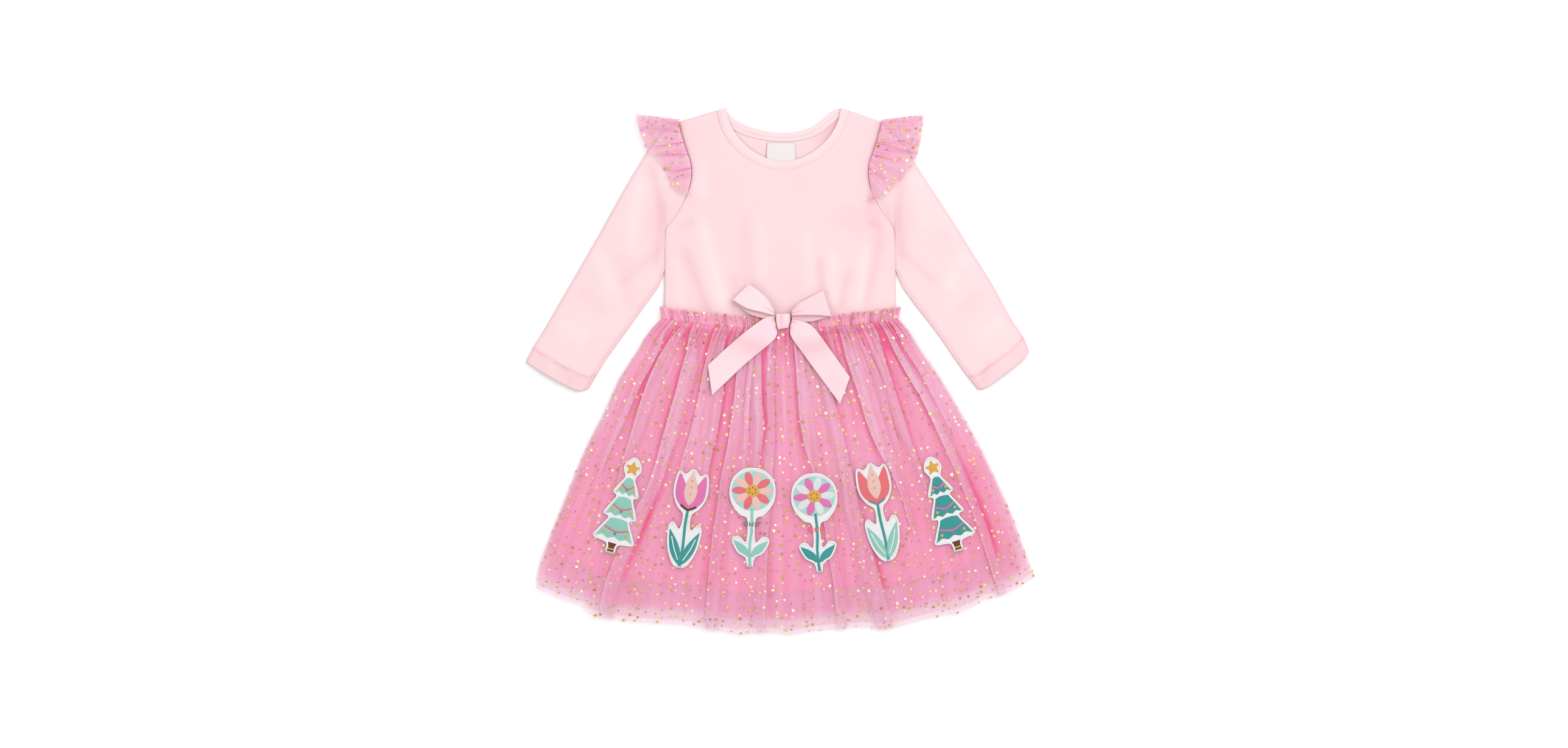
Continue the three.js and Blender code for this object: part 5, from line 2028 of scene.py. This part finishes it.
# Tail rows from the knot to the cut end: upper edge x, y, lower edge x, y
BOW_TAILS = {
    "left": (
        (-6.4, 59.6, -2.8, 44.6), (-15, 58, -4.5, 37), (-30.2, 48.1, -12, 29), (-53, 29.3, -39.5, 6),
        (-77, 7.2, -72.5, -25.4),
    ),
    "right": (
        (12.5, 55.5, 10.6, 45.5), (24, 54, 11.5, 38.5), (36, 47, 17, 29.5), (54, 23, 36.5, 2.8),
        (74.4, -5.9, 64, -34.5),
    ),
}
# How high the tails lie, by y
TAIL_REST = ((-40, 13.6), (-5, 13.2), (33, 11.8), (46, 10.2), (60, 10))


@dataclass
class Bow:
    """The satin bow: two loops, two tails and the knot that holds them."""

    finishes: Finishes
    wall: float = 0.6
    front_level: float = 12.6
    back_level: float = 9.3
    loop_pleats: tuple[float, float] = (2.2, 0.15)  # pleats across a loop, and where they start
    tail_pleats: tuple[float, float] = (1.7, 0.1)

    def _loop(self, name: str) -> Cloth:
        """Makes a band of ribbon that runs out from the knot, turns and comes back beneath itself.

        Args:
            name: left or right.

        Returns:
            The loop.
        """
        rows = np.array(BOW_LOOPS[name], float)
        upper, front, back = (SeamLine(rows[:, k : k + 2]) for k in (0, 2, 4))
        out, turn = np.linspace(0, 1, 34), np.linspace(0, 1, 8)[1:-1]
        t = np.concatenate([out, np.ones_like(turn), out[::-1]])[:, None]
        turned = np.concatenate([np.zeros_like(out), turn, np.ones_like(out)])[:, None]
        t, turned, w = np.broadcast_arrays(t, turned, np.linspace(0, 1, 25)[None])
        lower = np.where((turned == 1)[..., None], back.at(t), front.at(t))
        plan = mix(upper.at(t), lower, w[..., None])
        radius = (self.front_level - self.back_level) / 2
        side = np.sign(rows[3, 0])
        crown = np.where(turned == 0, np.sin(math.pi * t), 0)
        folds = self.loop_pleats[0] * w + self.loop_pleats[1]
        pleats = 0.55 * np.cos(2 * math.pi * folds) * (1 - ease(t / 0.55)) * (turned == 0)
        height = self.back_level + radius * (1 + np.cos(math.pi * turned)) + crown + pleats
        x = plan[..., 0] + side * radius * np.sin(math.pi * turned)
        cloth = Cloth(f"Bow_loop_{name}", np.stack([x, plan[..., 1], height], -1), face_up=side < 0)
        cloth.pattern()
        creases = swell(folds) ** 2 * (1 - ease(t / 0.5))
        # Painted shade: the back layer beneath is darker, the right loop darker than the left, and more in
        # the pleat creases and along the lower edge.
        base = 0.05 if name == "left" else 0.24
        cloth.paint(shade=np.where(turned == 1, 0.5, base + 0.6 * creases + 0.3 * ridge(w - 1, 0.05)))
        cloth.thicken(self.wall, 0.0)
        return cloth

    def _tail(self, name: str) -> Cloth:
        """Makes a tail that lies down over the gathers, its end cut aslant.

        Args:
            name: left or right.

        Returns:
            The tail.
        """
        rows = np.array(BOW_TAILS[name], float)
        upper, lower = SeamLine(rows[:, :2]), SeamLine(rows[:, 2:])
        v, u = np.meshgrid(np.linspace(0, 1, 90), np.linspace(0, 1, 25), indexing="ij")
        plan = mix(upper.at(v), lower.at(v), u[..., None])
        (rest,) = read_table(TAIL_REST, plan[..., 1])
        folds = self.tail_pleats[0] * u + self.tail_pleats[1]
        pinch = 0.5 * np.cos(2 * math.pi * folds) * (1 - ease(v / 0.3))
        roll = 0.5 * np.sin(math.pi * u) * ease(v / 0.4)
        wave = 0.5 * np.sin(5 * v + 1.5 * u) * ease(v / 0.2) * (1 - 0.5 * v)
        cloth = Cloth(f"Bow_tail_{name}", lifted(plan, rest + pinch + roll + wave), face_up=name == "right")
        cloth.pattern()
        # Painted shade in the pinched creases near the knot, in a soft band across the lower tail and along
        # its lower edge.
        creases = swell(folds) ** 2 * (1 - ease(v / 0.25))
        edges = 0.3 * ridge(v - 0.68 + 0.1 * u, 0.1) + 0.1 * ridge(u - 1, 0.05)
        cloth.paint(shade=0.12 + 0.6 * creases + edges)
        cloth.thicken(self.wall)
        return cloth

    def _knot(self) -> Cloth:
        """Wraps the ribbon once round the middle, with soft upright folds.

        Returns:
            The knot.
        """
        t, w = np.meshgrid(np.linspace(0, 1, 40, endpoint=False), np.linspace(0, 1, 21), indexing="ij")
        angle = 2 * math.pi * t
        left, right, low = -5.0, 11.6, 11.6
        half_tall, middle_y = mix(8.6, 7.6, w), mix(53.4, 54.6, w)
        y = middle_y + half_tall * squared_off(np.cos(angle), 0.6)
        x = mix(left, right, w) + 1.8 * (1 - (y - 45) / 17) * (1 - 2 * w)
        x = x + 1.1 * ((y - middle_y) / half_tall) ** 2 * (1 - 2 * w)
        fold = 0.4 * np.cos(2 * math.pi * 1.5 * w) * np.clip(np.sin(angle), 0, 1)
        height = low + (2.9 - 1.1 * (2 * w - 1) ** 4) * squared_off(np.sin(angle), 0.7) + fold
        cloth = Cloth("Bow_knot", np.stack([x, y, height], -1).transpose(1, 0, 2), ring=True)
        cloth.pattern()
        # Painted shade in the upright folds and along both edges.
        edges = 0.25 * ridge(w, 0.06) + 0.25 * ridge(w - 1, 0.06)
        cloth.paint(shade=(0.12 + 0.35 * swell(1.5 * w) ** 3 + edges).T)
        turn_faces_out(cloth.piece)
        cloth.thicken(self.wall)
        return cloth

    def make(self) -> None:
        """Builds the bow's pieces."""
        ribbon = self.finishes.ribbon
        for name in ("left", "right"):
            place_piece(self._tail(name).piece, ribbon, Cut(0.024, 0.1))
            place_piece(self._loop(name).piece, ribbon, Cut(0.022, 0.105, 1, "folded"))
        place_piece(self._knot().piece, ribbon, Cut(0.0155, 0.042, 1, "folded"))


# Patches


class Motif(Enum):
    """What a patch shows."""

    FIR = "fir"
    TULIP = "tulip"
    DAISY = "daisy"


class Dye(Enum):
    """Thread colours."""

    WHITE = colour(255, 254, 254)
    MINT = colour(150, 214, 200)
    AQUA = colour(178, 226, 222)
    TEAL = colour(48, 160, 158)
    CORAL = colour(247, 116, 124)
    ORCHID = colour(240, 120, 186)
    GOLD = colour(238, 178, 72)
    BROWN = colour(104, 52, 34)
    GREY = colour(140, 138, 142)
    BLUSH = colour(252, 206, 196)
    CREAM = colour(238, 240, 244)


class PatchPlan(NamedTuple):
    """One patch: its motif, its place on the skirt, and its two leading threads."""

    motif: Motif
    share: float
    down: float
    first: Dye
    second: Dye


PATCHES = (
    PatchPlan(Motif.FIR, 0.125, 0.64, Dye.MINT, Dye.CORAL),
    PatchPlan(Motif.TULIP, 0.277, 0.66, Dye.ORCHID, Dye.TEAL),
    PatchPlan(Motif.DAISY, 0.427, 0.635, Dye.CORAL, Dye.MINT),
    PatchPlan(Motif.DAISY, 0.577, 0.66, Dye.ORCHID, Dye.TEAL),
    PatchPlan(Motif.TULIP, 0.727, 0.635, Dye.CORAL, Dye.MINT),
    PatchPlan(Motif.FIR, 0.875, 0.655, Dye.TEAL, Dye.ORCHID),
)

# Half outlines of the patches, from the foot to the tip: how far out, and how far up from the middle
OUTLINES = {
    Motif.FIR: (
        (5.5, -52), (6.5, -42), (22, -38.5), (19, -30), (11.5, -15), (18, -12), (15, -4), (9, 9),
        (14, 12.5), (10.5, 21), (5.5, 31), (9.5, 40), (7, 48), (2, 53),
    ),
    Motif.TULIP: (
        (3, -53), (9, -48), (15.5, -33), (18, -12), (13.5, -5), (6, -12), (4.5, 4), (12, 12), (17.5, 24),
        (18, 38), (15, 50), (8, 47), (2, 53),
    ),
    Motif.DAISY: (
        (3, -53), (5, -43), (14, -37), (20, -24), (13, -20), (5, -26), (4.5, -2), (13, 3), (22, 15),
        (24.5, 28), (21, 42), (11, 51), (3, 53),
    ),
}

# Half width and height of each tier of the fir, at its foot and at its top
FIR_TIERS = ((18.4, -33.6, 8.6, -15), (14.6, -9.4, 6.6, 8.2), (10.6, 14.2, 3.2, 29))
TULIP_PETAL = ((0, 10), (7, 12), (13.6, 21), (14.8, 33), (13, 46), (8.2, 40), (3.6, 30), (0.6, 18), (0, 10))
ART_SPREAD = (1.08, 1.02)  # how far the stitches fill the plate, out and up


class Pad(NamedTuple):
    """One field of satin stitch: its outline out and up, its thread, its height and the stitches' angle."""

    outline: Grid
    dye: Dye
    height: float
    angle: float


def turning(angle: float) -> Grid:
    """The matrix that turns rows of x and y by an angle in radians."""
    c, s = math.cos(angle), math.sin(angle)
    return np.array([[c, s], [-s, c]])


def area_within(outline: Grid) -> float:
    """The area within an outline, below zero if it runs clockwise."""
    x, y = outline.T
    return 0.5 * float(np.sum(x * np.roll(y, -1) - np.roll(x, -1) * y))


def oval(x: float, y: float, rx: float, ry: float, angle: float = 0.0, corners: int = 20) -> Grid:
    """Draws an oval.

    Args:
        x: its middle, out.
        y: its middle, up.
        rx: half its width.
        ry: half its height.
        angle: how far it is turned, in degrees.
        corners: how many.

    Returns:
        Its outline.
    """
    t = np.linspace(0, 2 * math.pi, corners, endpoint=False)
    return np.stack([rx * np.cos(t), ry * np.sin(t)], -1) @ turning(math.radians(angle)) + (x, y)


def leaf(stalk: Point, tip: Point, width: float, corners: int = 11) -> Grid:
    """Draws a leaf.

    Args:
        stalk: where it starts.
        tip: where it ends.
        width: its greatest width.
        corners: how many on each side.

    Returns:
        Its outline.
    """
    t = np.linspace(0, 1, corners)
    (x0, y0), (x1, y1) = stalk, tip
    run = np.stack([mix(x0, x1, t), mix(y0, y1, t)], -1)
    side = np.array([-(y1 - y0), x1 - x0]) / math.hypot(x1 - x0, y1 - y0)
    half = (width / 2 * np.sin(math.pi * t**0.8) + 0.25)[:, None]
    return np.concatenate([run + side * half, (run - side * half)[::-1]])


def strip(points: Sequence[Point], width: float) -> Grid:
    """Draws a narrow band.

    Args:
        points: the line along its middle.
        width: the band's.

    Returns:
        Its outline.
    """
    line = SeamLine(points).at(np.linspace(0, 1, 16))
    along = unit(np.gradient(line, axis=0))
    side = np.stack([-along[:, 1], along[:, 0]], -1) * width / 2
    return np.concatenate([line + side, (line - side)[::-1]])


def star_outline(x: float, y: float, radius: float) -> Grid:
    """Draws a five-pointed star.

    Args:
        x: its middle, out.
        y: its middle, up.
        radius: from its middle to a point.

    Returns:
        Its outline.
    """
    t = np.arange(10) * math.pi / 5 + math.pi / 2
    r = np.where(np.arange(10) % 2, radius * 0.48, radius)
    return np.stack([x + r * np.cos(t), y + r * np.sin(t)], -1)


def tier(half_foot: float, foot: float, half_top: float, top: float) -> Grid:
    """Draws one skirt of the fir: a trapezium with a hanging, scalloped foot.

    Args:
        half_foot: half its width at the foot.
        foot: the foot's place, up.
        half_top: half its width at the top.
        top: the top's place, up.

    Returns:
        Its outline.
    """
    t = np.linspace(-1, 1, 13)
    lower = np.stack([t * half_foot, foot + 1.4 * np.cos(3 * math.pi * t) - 1], -1)
    upper = np.stack([np.array([1, 0.4, -0.4, -1]) * half_top, top + np.array([0, 1.2, 1.2, 0])], -1)
    return np.concatenate([lower, upper])


def both_sides(outline: Grid, dye: Dye, height: float, angle: float) -> list[Pad]:
    """A pad and its mirror image on the other side of the patch's middle."""
    return [Pad(outline, dye, height, angle), Pad(outline[::-1] * (-1, 1), dye, height, -angle)]


class Stitchwork:
    """Corners, faces and thread colours that become one piece."""

    # A pad's rounded edge: how far in each ring lies, in millimetres, and its share of the height
    EDGE = ((0, 0.0), (0, 0.55), (0.35, 0.9), (0.9, 1.0))

    def __init__(self) -> None:
        """Starts with nothing."""
        self.corners: list[Grid] = []
        self.faces: list[list[int]] = []
        self.places: list[Grid] = []
        self.dyes: list[Grid] = []

    def add(self, points: Grid, faces: Sequence[Sequence[int]], dye: Dye, where: Grid | None = None) -> None:
        """Adds a shape.

        Args:
            points: its corners, in millimetres.
            faces: its faces, by its own corners.
            dye: its thread.
            where: each corner's place across and along the threads, or its own x and y.
        """
        start = sum(len(c) for c in self.corners)
        self.corners.append(points)
        self.faces.extend([start + k for k in face] for face in faces)
        self.places.append(points[:, :2] if where is None else where)
        self.dyes.append(np.tile(dye.value, (len(points), 1)))

    def add_pad(self, pad: Pad, level: float) -> None:
        """Adds a raised field of satin stitch with a rounded edge.

        Args:
            pad: the field.
            level: its ground's height.
        """
        outline = pad.outline
        centre, count = outline.mean(0), len(outline)
        size = max(1.2, float(np.linalg.norm(outline - centre, axis=1).mean()))
        rings = [
            lifted(centre + (outline - centre) * (1 - inset / size * 0.6), level + pad.height * rise)
            for inset, rise in self.EDGE
        ]
        last = len(rings) - 1
        near, far = np.arange(count), np.roll(np.arange(count), -1)
        quads = np.stack([near, far, far + count, near + count], -1) + np.arange(last)[:, None, None] * count
        faces = [*quads.reshape(-1, 4).tolist(), list(range(last * count, (last + 1) * count))]
        if area_within(outline) < 0:
            faces = [face[::-1] for face in faces]
        points = np.concatenate(rings)
        self.add(points, faces, pad.dye, points[:, :2] @ turning(-math.radians(pad.angle)))

    def build(self, name: str, middle: Grid, turn: float) -> bpy.types.Object:
        """Makes the piece.

        Args:
            name: the piece's name.
            middle: where its middle goes.
            turn: how far it is turned about its middle, in radians.

        Returns:
            The piece without a finish.
        """
        points = np.concatenate(self.corners)
        piece = mesh_piece(name, lifted(points[:, :2] @ turning(turn) + middle, points[:, 2]), self.faces)
        lay_pattern(piece, np.concatenate(self.places) * MM)
        dyed = piece.data.color_attributes.new("dye", "FLOAT_COLOR", "POINT")
        dyed.data.foreach_set("color", np.concatenate(self.dyes).astype(np.float32).ravel())
        select_only(piece)
        bpy.ops.object.shade_smooth_by_angle(angle=math.radians(40))
        return piece


@dataclass
class Patch:
    """A sewn-on patch: a twill ground, a merrowed border and raised satin stitch."""

    finishes: Finishes
    number: int
    plan: PatchPlan
    wall: float = 1.1
    border: float = 1.15  # radius of the merrowed edge
    around: int = 8
    level: float = 8.0 + PATCH_LEVEL_GAP

    def _fir(self) -> list[Pad]:
        """Draws a fir in a pot, with garlands and a star.

        Returns:
            Its fields of stitches.
        """
        green, trim = self.plan.first, self.plan.second
        pads = [Pad(np.array([(-3.6, -49), (3.6, -49), (4.2, -40), (-4.2, -40)], float), Dye.BROWN, 0.5, 90)]
        pads.append(Pad(strip([(-4, -46), (0, -46.6), (4, -46)], 1.6), Dye.GOLD, 0.75, 0))
        for half_foot, foot, half_top, top in FIR_TIERS:
            pads.append(Pad(tier(half_foot, foot, half_top, top), green, 0.5, 78))
            y = mix(foot, top, 0.42)
            half = mix(half_foot, half_top, 0.42) * 0.86
            pads.append(Pad(strip([(-half, y + 1.6), (0, y - 2.2), (half, y + 1.6)], 1.5), trim, 0.8, 15))
            for t in (-0.62, 0.0, 0.62):
                bauble = oval(t * half_foot, foot + 3.4, 1.6, 1.6, corners=12)
                pads.append(Pad(bauble, Dye.GOLD if t else Dye.GREY, 0.9, 30))
        pads.append(Pad(star_outline(0, 40.4, 8.2), Dye.GOLD, 0.7, 90))
        return pads

    def _tulip(self) -> list[Pad]:
        """Draws a tulip with two broad leaves.

        Returns:
            Its fields of stitches.
        """
        bloom, green = self.plan.first, self.plan.second
        pads = [Pad(strip([(0, -50), (0.6, -30), (-0.4, -8), (0, 12)], 2.6), Dye.TEAL, 0.5, 0)]
        pads += both_sides(leaf((1, -49), (14.6, -13), 9), green, 0.55, 60)
        pads += both_sides(strip([(2.5, -44), (8, -32), (12, -20)], 1.0), Dye.WHITE, 0.75, 0)
        petal = SeamLine(TULIP_PETAL).at(np.linspace(0, 1, 30, endpoint=False))
        pads += both_sides(petal, bloom, 0.6, 70)
        pads.append(Pad(leaf((0, 14), (0, 49.5), 12.5, 13), Dye.BLUSH, 0.85, 90))
        pads += [Pad(oval(0, y, 1.2, 1.2, corners=10), Dye.GOLD, 1.15, 20) for y in (26, 33, 40)]
        calyx = strip([(-8, 13.6), (0, 9.4), (8, 13.6)], 2.2)
        pads.append(Pad(calyx, Dye.GREY if bloom is Dye.CORAL else Dye.BROWN, 0.8, 20))
        return pads

    def _daisy(self) -> list[Pad]:
        """Draws a daisy with two leaves and a ribbon on its stem.

        Returns:
            Its fields of stitches.
        """
        petal, green = self.plan.first, self.plan.second
        pads = [Pad(strip([(0, -50), (-0.8, -30), (0.6, -10), (0, 10)], 2.4), green, 0.5, 0)]
        pads += both_sides(leaf((0.8, -41), (17, -24), 8), green, 0.55, 40)
        pads.append(Pad(oval(0, 28, 20.6, 21, corners=40), Dye.AQUA, 0.3, 45))
        second = Dye.CREAM if petal is Dye.ORCHID else Dye.BLUSH
        for k in range(10):
            angle = 36 * k + 18
            x, y = 13.2 * math.sin(math.radians(angle)), 28 + 13.2 * math.cos(math.radians(angle))
            pads.append(Pad(oval(x, y, 3.9, 7.2, -angle), petal if k % 2 else second, 0.6, -angle))
        pads.append(Pad(oval(0, 28, 6.6, 6.6, corners=28), Dye.GOLD, 0.85, 45))
        for k in range(6):
            turn = math.radians(60 * k)
            seed = oval(3.4 * math.sin(turn), 28 + 3.4 * math.cos(turn), 0.8, 0.8, corners=8)
            pads.append(Pad(seed, Dye.BROWN, 1.1, 0))
        knot = Dye.GREY if petal is Dye.CORAL else Dye.CORAL
        pads += both_sides(leaf((0, -8), (8.4, -5.4), 5), knot, 0.7, 80)
        return pads

    def _seat(self) -> tuple[Grid, float]:
        """Finds the patch's seat on the skirt.

        Returns:
            Its middle, and its turn in radians.
        """
        down = np.array([self.plan.down, self.plan.down - 0.1, self.plan.down + 0.1])
        middle, above, below = skirt_plan(np.full(3, self.plan.share), down)
        run = above - below
        return middle, math.atan2(run[1], run[0]) - math.pi / 2

    def make(self) -> None:
        """Builds the patch's plate, and its border and stitches as one piece on it."""
        half = SeamLine(OUTLINES[self.plan.motif]).even(np.linspace(0, 1, 60))
        edge = np.concatenate([half, (half * (-1, 1))[::-1]])
        face = self.level + self.wall
        count = len(edge)
        ring = np.arange(count)
        sides = [[k, (k + 1) % count, count + (k + 1) % count, count + k] for k in ring]
        faces = [*sides, list(ring[::-1]), list(count + ring)]
        plate, work = Stitchwork(), Stitchwork()
        plate.add(np.concatenate([lifted(edge, self.level), lifted(edge, face)]), faces, Dye.WHITE)
        self._add_border(work, edge, face)
        art = {Motif.FIR: self._fir, Motif.TULIP: self._tulip, Motif.DAISY: self._daisy}[self.plan.motif]()
        for pad in art:
            work.add_pad(pad._replace(outline=pad.outline * ART_SPREAD), face)
        seat = self._seat()
        stitches = place_piece(work.build(f"Patch_{self.number}_stitches", *seat), self.finishes.thread)
        width, length = np.ptp(edge, axis=0) * MM
        cut = Cut(width, length, abs(area_within(edge)) * MM**2 / width / length)
        ground = plate.build(f"Patch_{self.number}", *seat)
        place_piece(ground, self.finishes.thread, cut, [stitches])

    def _add_border(self, work: Stitchwork, edge: Grid, level: float) -> None:
        """Lays the merrowed border, a rope of thread, over the patch's edge.

        Args:
            work: the stitches that it joins.
            edge: the patch's outline.
            level: the height of the patch's face.
        """
        count, around = len(edge), self.around

        def corner(k: int, j: int) -> int:
            """The rope's corner at a place along and round it."""
            return (k % count) * around + j % around

        along = unit(np.roll(edge, -1, 0) - np.roll(edge, 1, 0))
        out = np.stack([along[:, 1], -along[:, 0]], -1)
        angle = np.linspace(0, 2 * math.pi, around, endpoint=False)
        swing = (self.border * np.cos(angle))[None, :, None]
        plan = (edge - out * self.border * 0.75)[:, None] + out[:, None] * swing
        points = lifted(plan, level + self.border * 0.75 * np.sin(angle))
        quads = [
            [corner(k, j), corner(k + 1, j), corner(k + 1, j + 1), corner(k, j + 1)]
            for k in range(count)
            for j in range(around)
        ]
        where = np.stack(np.broadcast_arrays(lengths(edge)[:, None], angle[None] * self.border), -1)
        work.add(points.reshape(-1, 3), quads, Dye.WHITE, where.reshape(-1, 2))


# Studio


@dataclass(frozen=True)
class Studio:
    """A white table, soft light from all round, and a camera straight above."""

    frame_width: float = 1.6744  # metres of table across the photograph
    centre: tuple[float, float] = (0.0042, -0.0023)
    lens: float = 85.0
    sensor: float = 36.0
    garment_level: float = 0.006

    def make(self) -> None:
        """Builds table, lights and camera."""
        self._table()
        self._lights()
        data = bpy.data.cameras.new("Camera")
        data.lens, data.sensor_width = self.lens, self.sensor
        camera = bpy.data.objects.new("Camera", data)
        distance = self.frame_width / 2 / (self.sensor / 2 / self.lens)
        camera.location = (*self.centre, self.garment_level + distance)
        bpy.context.scene.collection.objects.link(camera)
        bpy.context.scene.camera = camera

    @staticmethod
    def _table() -> None:
        """The white table top."""
        for other in bpy.context.selected_objects:
            other.select_set(False)
        bpy.ops.mesh.primitive_plane_add(size=12, location=(0, 0, -0.0003))
        table = bpy.context.active_object
        table.name = "table"
        shader = Shader("White_table")
        shader.set(Base_Color=(0.94, 0.94, 0.94, 1.0), Roughness=0.8)
        table.data.materials.append(shader.material)

    @staticmethod
    def _lights() -> None:
        """A broad key from the upper right and an even glow all round."""
        scene = bpy.context.scene
        scene.world = bpy.data.worlds.new("Studio")
        scene.world.use_nodes = True
        glow = scene.world.node_tree.nodes["Background"]
        glow.inputs["Color"].default_value = (1.0, 1.0, 1.0, 1.0)
        glow.inputs["Strength"].default_value = 0.66
        scene.view_settings.view_transform = "Standard"
        for name, place, size, power in (
            ("Key", (0.9, 0.9, 1.9), 2.2, 33.0), ("Fill", (-1.3, -0.6, 1.8), 1.6, 9.0)
        ):
            data = bpy.data.lights.new(name, "AREA")
            data.energy, data.size = power, size
            light = bpy.data.objects.new(name, data)
            light.location = place
            light.rotation_euler = (-Vector(place)).to_track_quat("-Z", "Y").to_euler()
            scene.collection.objects.link(light)


def main() -> None:
    """Sets up the studio and dresses the frame."""
    logging.basicConfig(level=logging.INFO, format="%(name)s %(message)s")
    for node in bpy.context.selected_objects:
        node.select_set(False)
    Studio().make()
    finishes = Finishes()
    Skirt(finishes).make()
    Bodice(finishes).make()
    Neck(finishes).make()
    sprinkle = StarSprinkle(smallest=1.7, largest=2.8)
    for name, side in (("left", -1.0), ("right", 1.0)):
        Sleeve(finishes, name, side).make()
        Ruffle(finishes, name, side, seed=4 if side < 0 else 8).make(sprinkle)
    Bow(finishes).make()
    for number, plan in enumerate(PATCHES, 1):
        Patch(finishes, number, plan).make()


if __name__ == "__main__":
    main()
